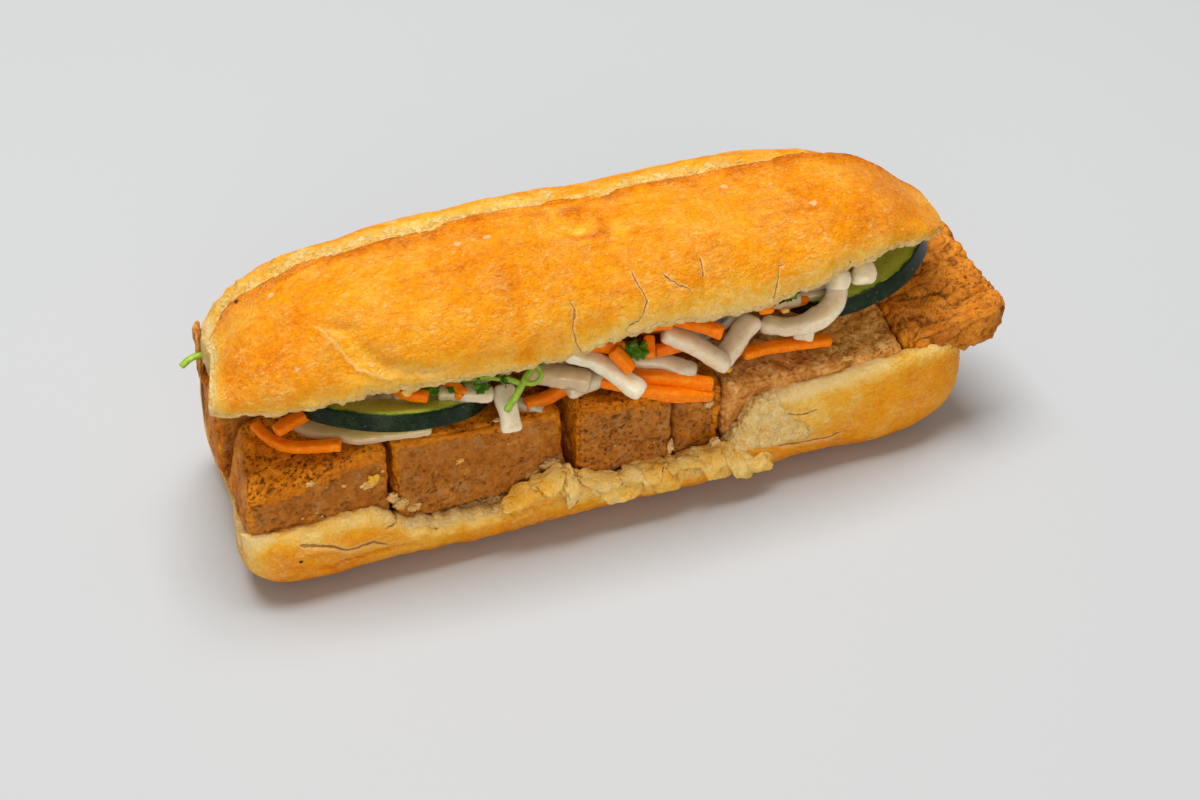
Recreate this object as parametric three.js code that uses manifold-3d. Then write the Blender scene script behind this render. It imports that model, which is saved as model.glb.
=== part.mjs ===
// A filled banh mi sandwich: a hinged baguette roll holding slabs of fried
// tofu, cucumber slices, strips of pickled carrot and daikon, and coriander.
// Millimetres, +Z up, +X along the roll, -Y is the open side of the roll.
import * as THREE from 'three';
import { mergeVertices } from 'three/addons/utils/BufferGeometryUtils.js';
import Module from 'manifold-3d';

const wasm = await Module();
wasm.setup();

// ---- driving dimensions ---------------------------------------------------
const GAP = 0.35;               // clearance between neighbouring pieces
const TOP_LEFT = -98;           // ends of the top leaf
const TOP_RIGHT = 91.5;
const BOTTOM_LEFT = -100.5;     // ends of the bottom leaf
const BOTTOM_RIGHT = 92;
const HALF_WIDTH = 32.8;        // roll, centre to side
const CAVITY_HALF = 27;         // inside of the walls
const FLOOR = 12.5;             // inside of the bottom leaf
const CEILING = 52;             // inside of the top leaf
const FOOT_HALF = 19;           // flat underside the roll rests on
const WIDEST = 13;              // height of the widest line of the bottom leaf
const BACK_WIDEST = 46;         // height of the widest line at the back
const END_WALL = 0.25;          // how much of the crumb's thickness is left at the ends

// value against length along the roll, smooth between stations
function profile(stations) {
  const xs = stations.map((p) => p[0]);
  const ys = stations.map((p) => p[1]);
  const slope = xs.map((_, i) => {
    const a = Math.max(0, i - 1);
    const b = Math.min(xs.length - 1, i + 1);
    return (ys[b] - ys[a]) / (xs[b] - xs[a]);
  });
  return (x) => {
    if (x <= xs[0]) return ys[0];
    if (x >= xs[xs.length - 1]) return ys[ys.length - 1];
    let i = 0;
    while (x > xs[i + 1]) i += 1;
    const h = xs[i + 1] - xs[i];
    const t = (x - xs[i]) / h;
    const t2 = t * t;
    const t3 = t2 * t;
    return (2 * t3 - 3 * t2 + 1) * ys[i] + (t3 - 2 * t2 + t) * h * slope[i]
      + (-2 * t3 + 3 * t2) * ys[i + 1] + (t3 - t2) * h * slope[i + 1];
  };
}

// height of the bottom leaf's lip: low under the left slabs, torn, then high
const lipHeight = profile([[-101, 20], [-85, 19], [-70, 19], [-61, 14.5], [-40, 12.5], [-20, 16],
  [0, 16], [22, 14.5], [34, 22], [44, 28], [72, 29.5], [85, 28.5], [92, 27]]);
// height and reach of the top leaf's front edge
const edgeHeight = profile([[-103, 49], [-85, 51.5], [-47, 51], [-15, 52.5], [4, 55.5], [29, 53.5],
  [54, 57], [66, 58.5], [80, 56.5], [92, 51.5]]);
const edgeReach = profile([[-103, -6], [-98, -18], [-90, -23.5], [-70, -25], [-35, -28], [29, -27.5],
  [54, -25.5], [76, -20.5], [87, -15], [92, -8]]);
// height of the crown of the top leaf
const crownHeight = profile([[-101, 57], [-98, 61], [-94, 64.8], [-85, 69.6], [-76, 73], [-51, 75.6],
  [-26, 77], [0, 75.8], [48, 75.2], [61, 74.6], [70, 71.6], [78, 66.2], [86, 60.4], [92, 57.4]]);
// how far the back of the top leaf stands below the crown
const backDrop = profile([[-100, 1.2], [0, 1.4], [25, 2.4], [50, 4.5], [70, 6.5], [92, 3]]);

// crumb ceiling, kept under the crown where the leaf thins out at the ends
const roofHeight = (x) => Math.min(Math.max(CEILING, edgeHeight(x) + 1.4), crownHeight(x) - 2.5);

const lerp = (a, b, t) => a + (b - a) * t;
const clamp = (v, lo, hi) => Math.min(hi, Math.max(lo, v));
const superArc = (t, n) => [Math.cos(t) ** (2 / n), Math.sin(t) ** (2 / n)];
const roundOff = (d, r, n) => (d >= r ? 1 : (1 - (1 - clamp(d / r, 0, 1)) ** n) ** (1 / n));

// Cross-section of the hinged roll: [y, z, part] where part is 0 for crumb
// surfaces, 1 for the bottom leaf's crust, 2 for the back, 3 for the top leaf.
function section(x) {
  const lip = lipHeight(x);
  const edgeZ = edgeHeight(x);
  const edgeY = edgeReach(x);
  const crown = crownHeight(x);
  const wide = Math.min(WIDEST, lip - 3);
  const fold = -1.2;
  const out = [];
  const put = (y, z, part) => out.push([y, z, part]);
  put(-29.2, lip, 1);
  put(-31.2, lip - 1.2, 1);
  for (let i = 1; i <= 3; i += 1) {
    const t = i / 3;
    put(-31.2 - (HALF_WIDTH - 31.2) * Math.sin((t * Math.PI) / 2), lerp(lip - 1.2, wide, t), 1);
  }
  for (let i = 1; i <= 4; i += 1) {
    const [c, s] = superArc((i / 4) * (Math.PI / 2), 2.05);
    put(-FOOT_HALF - (HALF_WIDTH - FOOT_HALF) * Math.max(0, c), wide - wide * Math.min(1, s), 1);
  }
  put(0, 0, 1);
  for (let i = 0; i <= 4; i += 1) {
    const [s, c] = superArc((i / 4) * (Math.PI / 2), 2.05);
    put(FOOT_HALF + (HALF_WIDTH - FOOT_HALF) * Math.max(0, c), WIDEST - WIDEST * Math.max(0, s), 1);
  }
  put(32.5, 19, 2);
  put(HALF_WIDTH + fold, 25, 2);
  put(HALF_WIDTH + fold * 1.6, 29, 2);
  put(HALF_WIDTH + fold, 33, 2);
  put(32.6, 40, 2);
  for (let i = 0; i <= 5; i += 1) {
    const [c, s] = superArc((i / 6) * (Math.PI / 2), 1.9);
    put(2 + (HALF_WIDTH - 2.2) * c, lerp(BACK_WIDEST, crown - backDrop(x), s), 3);
  }
  put(1.2, crown, 3);
  const base = edgeZ + 3.2;
  for (let i = 1; i <= 7; i += 1) {
    const [s, c] = superArc((i / 7) * (Math.PI / 2), 2.15);
    put(lerp(1.2, edgeY - 2, clamp(c, 0, 1)), lerp(base, crown, Math.max(0, s)), 3);
  }
  put(edgeY - 1.7, edgeZ + 1.2, 3);
  put(edgeY - 0.2, edgeZ, 3);
  put(edgeY + 2.4, edgeZ + 0.7, 0);
  // crumb side of the top leaf, the back and the floor
  const roof = roofHeight(x);
  put(lerp(edgeY, 0, 0.35), lerp(edgeZ + 1, roof, 0.7), 0);
  put(lerp(edgeY, 0, 0.75), roof, 0);
  put(6, roof - 0.2, 0);
  put(17, Math.min(CEILING, roof) - 1.5, 0);
  put(24.5, 46, 0);
  put(CAVITY_HALF, 38, 0);
  put(CAVITY_HALF, 27, 0);
  put(25.5, 18.5, 0);
  put(21, FLOOR + 0.6, 0);
  put(8, FLOOR, 0);
  put(-8, FLOOR, 0);
  put(-19, Math.min(FLOOR, lip - 0.4), 0);
  put(-24.5, Math.min(FLOOR + 0.8, lip - 0.6), 0);
  put(-26.6, lerp(Math.min(FLOOR + 2, lip - 0.7), lip - 1, 0.5), 0);
  put(-CAVITY_HALF, lip - 0.8, 0);
  return out;
}

// The roll: sections lofted along the length, drawn in towards the crumb at
// both ends so that the ends are rounded.
function rollGeometry() {
  const ends = [0, 0.5, 1.8, 4.2, 8, 13, 20];
  const stations = [];
  const length = BOTTOM_RIGHT - BOTTOM_LEFT;
  ends.forEach((d) => stations.push(d / length));
  for (let d = 29; d < length - 26; d += 9.6) stations.push(d / length);
  [...ends].reverse().forEach((d) => stations.push(1 - d / length));
  const position = [];
  const rings = stations.map((s) => {
    const x = lerp(BOTTOM_LEFT, BOTTOM_RIGHT, s);
    const roof = roofHeight(x);
    return section(x).map(([y, z, part]) => {
      const high = clamp((z - 22) / 24, 0, 1);
      const left = x - BOTTOM_LEFT;
      const right = BOTTOM_RIGHT - x;
      const keepBottom = Math.min(roundOff(left, 15, 2), roundOff(right, 24, 2));
      const keepTop = Math.min(roundOff(left, 8, 2), roundOff(right, 7, 2));
      const keep = lerp(END_WALL, 1, lerp(keepBottom, keepTop, high));
      // the ends are rounded in plan, most at the foot and at the back of the top leaf
      const foot = part === 1 ? clamp(1 - z / 16, 0, 1) : 0;
      const planLeft = lerp(lerp(0.95 - 0.15 * foot, 0.4, high), 1, roundOff(left, lerp(13, 34, high), 2));
      const planRight = lerp(lerp(0.8 - 0.15 * foot, 0.35, high), 1, roundOff(right, lerp(20, 42, high), 2));
      let py = y;
      let pz = z;
      if (part !== 0) {
        const low = part === 3 ? Math.max(-CAVITY_HALF, edgeReach(x) + 2.4) : -CAVITY_HALF;
        const sy = clamp(y, low, CAVITY_HALF);
        const sz = clamp(z, FLOOR, roof);
        py = sy + (y - sy) * keep;
        pz = sz + (z - sz) * keep;
      }
      // the top leaf's reach is already drawn in at the front
      const plan = planLeft * planRight;
      py *= py < 0 ? lerp(plan, 1, high) : plan;
      const px = lerp(lerp(BOTTOM_LEFT, BOTTOM_RIGHT, s), lerp(TOP_LEFT, TOP_RIGHT, s), high);
      const set = 3 * (1 - high) * clamp((y + 22) / 20, 0, 1) * clamp(1 - left / 16, 0, 1);
      position.push(px + set, py, pz);
      return position.length / 3 - 1;
    });
  });
  const index = [];
  const count = rings[0].length;
  for (let r = 0; r + 1 < rings.length; r += 1) {
    for (let i = 0; i < count; i += 1) {
      const j = (i + 1) % count;
      index.push(rings[r][i], rings[r][j], rings[r + 1][j], rings[r][i], rings[r + 1][j], rings[r + 1][i]);
    }
  }
  [rings[0], rings[rings.length - 1]].forEach((ring, side) => {
    const outline = ring.map((v) => new THREE.Vector2(position[3 * v + 1], position[3 * v + 2]));
    THREE.ShapeUtils.triangulateShape(outline, []).forEach(([a, b, c]) => {
      const area = (outline[b].x - outline[a].x) * (outline[c].y - outline[a].y)
        - (outline[c].x - outline[a].x) * (outline[b].y - outline[a].y);
      // the ring's own turning direction decides which way each cap faces
      if ((area > 0) === (side === 1)) index.push(ring[a], ring[b], ring[c]);
      else index.push(ring[a], ring[c], ring[b]);
    });
  });
  return indexed(position, index);
}

function indexed(position, index) {
  const geometry = new THREE.BufferGeometry();
  geometry.setAttribute('position', new THREE.Float32BufferAttribute(position, 3));
  geometry.setIndex(index);
  return geometry;
}

// gentle unevenness of cut and fried surfaces, in millimetres
function uneven([x, y, z], size) {
  return size * (Math.sin(0.31 * x + 0.7 * z) * Math.cos(0.27 * y - 0.2 * x)
    + 0.6 * Math.sin(0.53 * y + 0.41 * x - 0.6 * z));
}

// A slab between four bottom and four top corners (front left, front right,
// back right, back left), edges rounded, top bowed by `bow` at mid-length.
function slab({ bottom, top, cells, bow = 0, radius = 1.3, rough = 0.45 }) {
  const span = (a, b) => Math.hypot(a[0] - b[0], a[1] - b[1], a[2] - b[2]);
  const size = [span(bottom[0], bottom[1]), span(bottom[0], bottom[3]), span(bottom[0], top[0])];
  const grid = size.map((length, axis) => {
    const edge = radius / length;
    const line = [0];
    for (let i = 0; i <= cells[axis]; i += 1) line.push(lerp(edge, 1 - edge, i / cells[axis]));
    line.push(1);
    return line;
  });
  const box = new THREE.BoxGeometry(1, 1, 1, cells[0] + 2, cells[1] + 2, cells[2] + 2);
  box.deleteAttribute('normal');
  box.deleteAttribute('uv');
  const merged = mergeVertices(box, 1e-4);
  const at = merged.getAttribute('position');
  const place = ([u, v, w]) => [0, 1, 2].map((k) => {
    const low = lerp(lerp(bottom[0][k], bottom[1][k], u), lerp(bottom[3][k], bottom[2][k], u), v);
    const high = lerp(lerp(top[0][k], top[1][k], u), lerp(top[3][k], top[2][k], u), v);
    return lerp(low, high, w) + (k === 2 ? bow * w * 4 * u * (1 - u) : 0);
  });
  for (let i = 0; i < at.count; i += 1) {
    const cell = [at.getX(i), at.getY(i), at.getZ(i)].map((p, k) => grid[k][Math.round((p + 0.5) * (cells[k] + 2))]);
    const mm = cell.map((p, k) => p * size[k]);
    const core = mm.map((p, k) => clamp(p, radius, size[k] - radius));
    const away = mm.map((p, k) => p - core[k]);
    const reach = Math.hypot(...away) || 1;
    const bump = uneven(place(cell), rough);
    const rounded = core.map((p, k) => (p + (away[k] / reach) * (radius + bump)) / size[k]);
    at.setXYZ(i, ...place(rounded));
  }
  return merged;
}

// A slice of cucumber: its top face's centre, radii, thickness and tilts.
function slice({ centre, radius, stretch, thick, tiltX, tiltY }) {
  const soft = 0.7;
  const points = [[0, 0], [radius - soft, 0], [radius, -soft], [radius, soft - thick],
    [radius - soft, -thick], [0, -thick]].map(([r, z]) => new THREE.Vector2(r, z));
  const lathe = new THREE.LatheGeometry(points.reverse(), 28);
  lathe.rotateX(Math.PI / 2);
  lathe.scale(stretch, 1, 1);
  lathe.rotateX(THREE.MathUtils.degToRad(tiltX));
  lathe.rotateY(THREE.MathUtils.degToRad(tiltY));
  lathe.translate(...centre);
  return lathe;
}

// A strip or stem: a rounded rectangular section swept along a smooth path.
function strip({ wide, high, path, taper = 0.86, round = false }) {
  const points = path.map((p) => new THREE.Vector3(...p));
  const curve = new THREE.CatmullRomCurve3(points, false, 'centripetal');
  const steps = path.length === 2 ? 1 : (path.length - 1) * 2;
  const chord = points[points.length - 1].clone().sub(points[0]).normalize();
  const up = Math.abs(chord.z) > 0.8 ? new THREE.Vector3(0.2, -1, 0) : new THREE.Vector3(0, 0, 1);
  const position = [];
  const index = [];
  const corner = round
    ? [0, 1, 2, 3, 4, 5].map((k) => [0.53 * Math.cos((k * Math.PI) / 3), 0.53 * Math.sin((k * Math.PI) / 3)])
    : [[0.47, 0.45], [-0.47, 0.45], [-0.47, -0.45], [0.47, -0.45]];
  for (let i = 0; i <= steps; i += 1) {
    const t = i / steps;
    const here = curve.getPoint(t);
    const ahead = curve.getTangent(t);
    const side = new THREE.Vector3().crossVectors(ahead, up).normalize();
    const lift = new THREE.Vector3().crossVectors(side, ahead).normalize();
    const size = i === 0 || i === steps ? taper : 1;
    corner.forEach(([a, b]) => {
      const p = here.clone().addScaledVector(side, a * wide * size).addScaledVector(lift, b * high * size);
      position.push(p.x, p.y, p.z);
    });
  }
  const n = corner.length;
  for (let i = 0; i < steps; i += 1) {
    for (let k = 0; k < n; k += 1) {
      const a = i * n + k;
      const b = i * n + ((k + 1) % n);
      index.push(a, b, b + n, a, b + n, a + n);
    }
  }
  for (let k = 1; k + 1 < n; k += 1) {
    index.push(0, k + 1, k);
    index.push(steps * n, steps * n + k, steps * n + k + 1);
  }
  return indexed(position, index);
}

// ---- solids ---------------------------------------------------------------
function prepared(geometry) {
  const bare = geometry.clone();
  bare.deleteAttribute('normal');
  bare.deleteAttribute('uv');
  const merged = mergeVertices(bare, 1e-4);
  const index = Array.from(merged.index.array);
  const at = merged.getAttribute('position').array;
  const kept = [];
  let volume = 0;
  for (let i = 0; i < index.length; i += 3) {
    const [a, b, c] = [index[i], index[i + 1], index[i + 2]];
    if (a === b || b === c || a === c) continue;
    kept.push(a, b, c);
    volume += (at[3 * a] * (at[3 * b + 1] * at[3 * c + 2] - at[3 * b + 2] * at[3 * c + 1])
      - at[3 * a + 1] * (at[3 * b] * at[3 * c + 2] - at[3 * b + 2] * at[3 * c])
      + at[3 * a + 2] * (at[3 * b] * at[3 * c + 1] - at[3 * b + 1] * at[3 * c])) / 6;
  }
  if (volume < 0) for (let i = 0; i < kept.length; i += 3) [kept[i + 1], kept[i + 2]] = [kept[i + 2], kept[i + 1]];
  return { at: Float32Array.from(at), kept };
}

function solid(geometry, grow = 0) {
  const { at, kept } = prepared(geometry);
  const moved = Float32Array.from(at);
  if (grow > 0) {
    const normal = new Float32Array(at.length);
    const p = (v) => new THREE.Vector3(at[3 * v], at[3 * v + 1], at[3 * v + 2]);
    for (let i = 0; i < kept.length; i += 3) {
      const corners = [kept[i], kept[i + 1], kept[i + 2]].map(p);
      const face = corners[1].clone().sub(corners[0]).cross(corners[2].clone().sub(corners[0])).normalize();
      for (let k = 0; k < 3; k += 1) {
        const angle = corners[(k + 1) % 3].clone().sub(corners[k]).angleTo(corners[(k + 2) % 3].clone().sub(corners[k]));
        ['x', 'y', 'z'].forEach((axis, m) => { normal[3 * kept[i + k] + m] += face[axis] * angle; });
      }
    }
    for (let v = 0; v < at.length / 3; v += 1) {
      const length = Math.hypot(normal[3 * v], normal[3 * v + 1], normal[3 * v + 2]) || 1;
      for (let m = 0; m < 3; m += 1) moved[3 * v + m] += (normal[3 * v + m] / length) * grow;
    }
  }
  return new wasm.Manifold(new wasm.Mesh({ numProp: 3, vertProperties: moved, triVerts: Uint32Array.from(kept) }));
}

function largest(body) {
  const pieces = body.decompose();
  return pieces.reduce((a, b) => (b.volume() > a.volume() ? b : a));
}

const group = new THREE.Group();
const placed = [];      // { box, grown } of every piece already in place
function keep(name, geometries, colour, roughness) {
  const list = Array.isArray(geometries) ? geometries : [geometries];
  let body = list.map((g) => solid(g)).reduce((a, b) => a.add(b));
  const grown = list.map((g) => solid(g, GAP));
  placed.forEach((other) => { body = body.subtract(other); });
  body = largest(body);
  grown.forEach((g) => placed.push(g));
  const mesh = body.getMesh();
  const geometry = indexed(Array.from(mesh.vertProperties), Array.from(mesh.triVerts));
  geometry.computeVertexNormals();
  const material = new THREE.MeshStandardMaterial({ color: colour, roughness, metalness: 0 });
  const part = new THREE.Mesh(geometry, material);
  part.name = name;
  group.add(part);
  return body;
}

const CRUST = 0xd9963f;
const FRIED = 0xa8673a;
const CARROT = 0xe8701c;
const DAIKON = 0xdcd3bc;
const CUCUMBER = 0x2f4a2c;
const HERB = 0x4d8a2b;

keep('bread', rollGeometry(), CRUST, 0.6);

// ---- cucumber slices ------------------------------------------------------
keep('cucumber_1', slice({ centre: [-58.1, -9.4, 42.3], radius: 21.5, stretch: 1.17, thick: 4.6, tiltX: -16, tiltY: 8.2 }), CUCUMBER, 0.3);
keep('cucumber_2', slice({ centre: [66.2, -3.6, 46], radius: 21, stretch: 1, thick: 5, tiltX: -10.7, tiltY: -18.1 }), CUCUMBER, 0.3);
keep('cucumber_3', slice({ centre: [36.5, 1.5, 50.5], radius: 22, stretch: 1, thick: 4.6, tiltX: -3, tiltY: 0 }), CUCUMBER, 0.3);

// ---- tofu slabs -----------------------------------------------------------
keep('tofu_1', slab({
  bottom: [[-100.5, -29, 13.3], [-65, -28.5, 13.3], [-65, -1, 13.3], [-100.4, -4, 21]],
  top: [[-101, -29, 31], [-65.6, -28.4, 38.4], [-65.6, -1, 38.6], [-95.5, -6, 38.4]],
  cells: [4, 3, 2] }), FRIED, 0.75);
keep('tofu_2', slab({
  bottom: [[-63.6, -27.8, 13.3], [-19.8, -27, 13.3], [-19.8, 25, 13.3], [-63.6, 25, 13.3]],
  top: [[-63.8, -27.6, 38.2], [-21, -27, 31.9], [-21, 24.5, 33], [-63.8, 24.5, 36.5]],
  cells: [5, 3, 2], bow: -1.8 }), FRIED, 0.75);
keep('tofu_3', slab({
  bottom: [[-17.6, -29.2, 13.3], [20.6, -29.2, 13.3], [20.6, 25, 13.3], [-17.6, 25, 13.3]],
  top: [[-17, -30, 37.8], [21.6, -29.6, 33.6], [21.2, 24.5, 35], [-16.4, 24.5, 37]],
  cells: [4, 3, 2], bow: -0.8, rough: 0.6 }), FRIED, 0.75);
keep('tofu_4', slab({
  bottom: [[22.6, -27.6, 13.3], [73, -27.6, 13.3], [73, 24.5, 13.3], [22.6, 24.5, 13.3]],
  top: [[23, -28, 32.2], [73, -28, 30.2], [73, 24.5, 38], [23, 24.5, 38]],
  cells: [4, 3, 2], bow: -0.9 }), FRIED, 0.75);
keep('tofu_5', slab({
  bottom: [[74, -27, 23.5], [97.5, -26.2, 25.5], [96, 5, 27], [74, 16, 25]],
  top: [[74, -28, 30.4], [100, -27.4, 35.6], [97.5, 7, 38.4], [74, 18, 40]],
  cells: [3, 3, 2], rough: 0.7 }), FRIED, 0.75);
keep('tofu_6', slab({
  bottom: [[-101, -0.6, 24.5], [-66, 0.4, 14], [-66, 14, 14], [-101, 12.5, 25.5]],
  top: [[-100.6, -1, 40], [-66, 0, 39], [-66, 14, 41], [-100.6, 12, 42]],
  cells: [3, 1, 2] }), FRIED, 0.75);
keep('tofu_7', slab({
  bottom: [[-97.8, 14, 26], [-66, 15, 16], [-66, 26, 18], [-97.8, 22.6, 28]],
  top: [[-98.2, 13.4, 43], [-66, 15, 42], [-66, 25, 42], [-98.2, 22, 44.4]],
  cells: [3, 1, 2] }), FRIED, 0.75);

// ---- pickled carrot and daikon strips: width, height, path ------------------
const carrots = [
  [3, 2.4, [[-92.5, -9.4, 39], [-90.7, -15, 38.6], [-85.7, -22, 38.2], [-75.2, -26.2, 39.4]]],
  [3.4, 2.4, [[-88.5, -17.5, 41.6], [-81.3, -14.6, 42.4], [-74.5, -12.5, 43.6]]],
  [3.2, 2.6, [[-62, -18.5, 49.6], [-59, -23.4, 49.6], [-53.8, -26.6, 49]]],
  [3.2, 3.2, [[-47.6, -19.8, 48.2], [-45.2, -26.6, 47]]],
  [3, 2.4, [[-70, -17.6, 49.8], [-62.6, -20.5, 50]]],
  [3, 3, [[-28.6, -23.5, 37.2], [-22.4, -23, 37.6], [-13.6, -22.8, 41]]],
  [3, 3, [[-11, -21.5, 49.4], [-3, -24.6, 48.4]]],
  [3, 3, [[-7, -26.8, 50.6], [-3.4, -30, 45.6]]],
  [3, 3, [[-6.5, -21.4, 53], [1.8, -19.6, 51.6]]],
  [3, 3, [[-1.1, -23.1, 53.4], [9.6, -24.6, 52.8]]],
  [3, 3, [[3.6, -24, 49.8], [2, -28.3, 46.8]]],
  [3, 3, [[5, -25, 45.6], [14.4, -25.2, 46]]],
  [4, 3, [[11, -21.6, 52], [15.6, -26.6, 52], [20.6, -30.2, 50.6]]],
  [3.6, 3, [[-1.6, -26, 40.8], [8, -29.4, 39.4], [17.2, -32.8, 37.4]]],
  [3.6, 3, [[-1.7, -29, 38.6], [7.4, -32.2, 36.8], [16.9, -32.6, 34.6]]],
  [3.6, 2.6, [[29.6, -22.8, 36.8], [41, -22.6, 36.2], [53.4, -24, 35.6]]],
  [4, 3, [[36, -18, 54.2], [34.5, -25.4, 49.8]]],
  [3, 3, [[-10.6, -23.9, 40.4], [-3.4, -28.8, 39.4]]],
];
carrots.forEach(([wide, high, path], i) => {
  keep(`carrot_${String(i + 1).padStart(2, '0')}`, strip({ wide, high, path }), CARROT, 0.35);
});
const daikons = [
  [6, 3.2, [[-82, -9.8, 38.5], [-73, -21.4, 41], [-53.5, -26.6, 40.2]]],
  [5.2, 3.5, [[-33.6, -22.5, 44], [-34.2, -26.8, 40.8], [-34.6, -30.4, 35.6]]],
  [5.6, 4, [[-17.5, -22.4, 49.4], [-9.6, -25.4, 46], [-1.2, -32.4, 39.8]]],
  [5, 4, [[-18.4, -25.6, 40], [-8.6, -23.2, 40.4], [0.6, -21.6, 41]]],
  [5, 3.4, [[-50.4, -23, 46.6], [-37.5, -26, 45]]],
  [3, 3, [[-31.2, -20.5, 36.8], [-24.6, -25.4, 35.4]]],
  [6, 5, [[-26, -18.5, 43], [-12.6, -26.6, 42.2]]],
  [6, 4, [[-3.4, -19.6, 43], [5.2, -24, 41.6], [14.4, -28.6, 38.8]]],
  [6, 4, [[7.4, -23.4, 49.6], [15, -26, 45.6], [22.4, -29.8, 39.4]]],
  [6, 4, [[33.2, -20.6, 45.6], [27, -24, 42], [21.8, -25.6, 37.6]]],
  [5.5, 4, [[57, -17.6, 51], [55.2, -22.4, 48], [49.4, -24.8, 44], [42, -21.8, 41], [37, -17.6, 40.4]]],
  [5, 5.4, [[55.8, -21.8, 55], [54.8, -24.6, 51]]],
  [6, 6, [[62.4, -20.8, 55.4], [61.4, -24.6, 51]]],
  [3, 3, [[43.6, -22.6, 39.6], [48, -25.4, 39.2]]],
];
daikons.forEach(([wide, high, path], i) => {
  keep(`daikon_${String(i + 1).padStart(2, '0')}`, strip({ wide, high, path }), DAIKON, 0.3);
});

// ---- coriander stems ------------------------------------------------------
keep('coriander_1', [
  strip({ wide: 1.7, high: 1.7, path: [[-36, -31.2, 43], [-30.6, -28.6, 48.6], [-26.4, -25, 50]], taper: 0.7, round: true }),
  strip({ wide: 1.5, high: 1.5, path: [[-31, -29, 48.2], [-38, -25, 48.6], [-44.6, -21.6, 48.4]], taper: 0.7, round: true }),
], HERB, 0.45);
keep('coriander_2', strip({ wide: 1.8, high: 1.4, path: [[-105.6, 9.6, 46.6], [-101.5, 11, 47.4], [-94, 12, 47]], taper: 0.6, round: true }), HERB, 0.45);

// ---- the heap of mixed pickle behind the strips that show -------------------
keep('pickle_bed', slab({
  bottom: [[-92, -9, 35], [76, -8, 35], [76, 22, 35], [-92, 22, 35]],
  top: [[-90, -9, 48.5], [75, -8, 52], [75, 21, 48], [-90, 21, 47]],
  cells: [10, 2, 1], radius: 2, rough: 1 }), DAIKON, 0.4);

// the row frame's origin is the middle of the whole sandwich's foot
group.updateMatrixWorld(true);
const bounds = new THREE.Box3();
group.children.forEach((part) => bounds.expandByObject(part, true));
group.position.set(-(bounds.min.x + bounds.max.x) / 2, -(bounds.min.y + bounds.max.y) / 2, -bounds.min.z);
export default group;
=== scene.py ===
import math

import bmesh
import bpy
import numpy as np
from mathutils import Matrix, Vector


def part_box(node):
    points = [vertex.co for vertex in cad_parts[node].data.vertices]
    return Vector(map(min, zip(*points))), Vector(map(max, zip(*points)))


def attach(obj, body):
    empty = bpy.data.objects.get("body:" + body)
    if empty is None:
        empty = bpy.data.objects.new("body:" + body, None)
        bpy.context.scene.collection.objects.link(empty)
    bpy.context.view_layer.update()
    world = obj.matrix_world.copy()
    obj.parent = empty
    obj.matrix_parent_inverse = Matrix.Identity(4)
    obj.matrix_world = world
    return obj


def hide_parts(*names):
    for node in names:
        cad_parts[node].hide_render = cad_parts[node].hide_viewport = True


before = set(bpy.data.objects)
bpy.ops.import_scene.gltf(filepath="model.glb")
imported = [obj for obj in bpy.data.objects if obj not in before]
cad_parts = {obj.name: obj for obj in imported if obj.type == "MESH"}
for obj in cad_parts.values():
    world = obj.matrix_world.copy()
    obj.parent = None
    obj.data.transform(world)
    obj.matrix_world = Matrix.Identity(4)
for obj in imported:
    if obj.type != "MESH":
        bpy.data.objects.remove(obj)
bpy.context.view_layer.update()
rng = np.random.RandomState(11)

# All working coordinates are millimetres in the design frame; OFF takes them to the row frame.
_lo, _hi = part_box("bread")
OFF = np.array(_lo) * 1000.0 - np.array([-100.5, -32.8, 0.0])


# ---------------------------------------------------------------- noise
_P = np.random.RandomState(5).permutation(4096)
_G = np.random.RandomState(6).normal(size=(4096, 3))
_G /= np.linalg.norm(_G, axis=1)[:, None]
_J = np.random.RandomState(8).uniform(0.0, 1.0, (4096, 3))


def _hash(i):
    return _P[(_P[(_P[i[..., 0] & 4095] + i[..., 1]) & 4095] + i[..., 2]) & 4095]


def perlin(p):
    p = np.asarray(p, float)
    i = np.floor(p).astype(np.int64)
    f = p - i
    u = f * f * f * (f * (f * 6 - 15) + 10)
    out = np.zeros(p.shape[:-1])
    for dx in (0, 1):
        wx = u[..., 0] if dx else 1 - u[..., 0]
        for dy in (0, 1):
            wy = u[..., 1] if dy else 1 - u[..., 1]
            for dz in (0, 1):
                wz = u[..., 2] if dz else 1 - u[..., 2]
                d = np.array([dx, dy, dz])
                out += wx * wy * wz * (_G[_hash(i + d)] * (f - d)).sum(-1)
    return out * 1.5


def fbm(p, octaves=3, gain=0.5):
    out, amp = 0.0, 1.0
    for k in range(octaves):
        out = out + amp * perlin(np.asarray(p) * 2.03**k + 17.3 * k)
        amp *= gain
    return out


def worley(p):
    """distance to the nearest scattered point, and that point's own random number"""
    p = np.asarray(p, float)
    i = np.floor(p).astype(np.int64)
    best = np.full(p.shape[:-1], 9.0)
    rand = np.zeros(p.shape[:-1])
    for dx in (-1, 0, 1):
        for dy in (-1, 0, 1):
            for dz in (-1, 0, 1):
                c = i + np.array([dx, dy, dz])
                h = _hash(c)
                d = np.linalg.norm(c + _J[h] - p, axis=-1)
                near = d < best
                best = np.where(near, d, best)
                rand = np.where(near, _J[h, 0], rand)
    return best, rand


def smooth(a, b, x):
    t = np.clip((np.asarray(x, float) - a) / (b - a), 0, 1)
    return t * t * (3 - 2 * t)


def lerp(a, b, t):
    return a + (b - a) * t


def line_noise(x, scale, seed=0.0):
    x = np.atleast_1d(np.asarray(x, float))
    return perlin(np.stack([x / scale, np.full_like(x, 3.7 + seed), np.full_like(x, 9.1 - seed)], -1))


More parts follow.
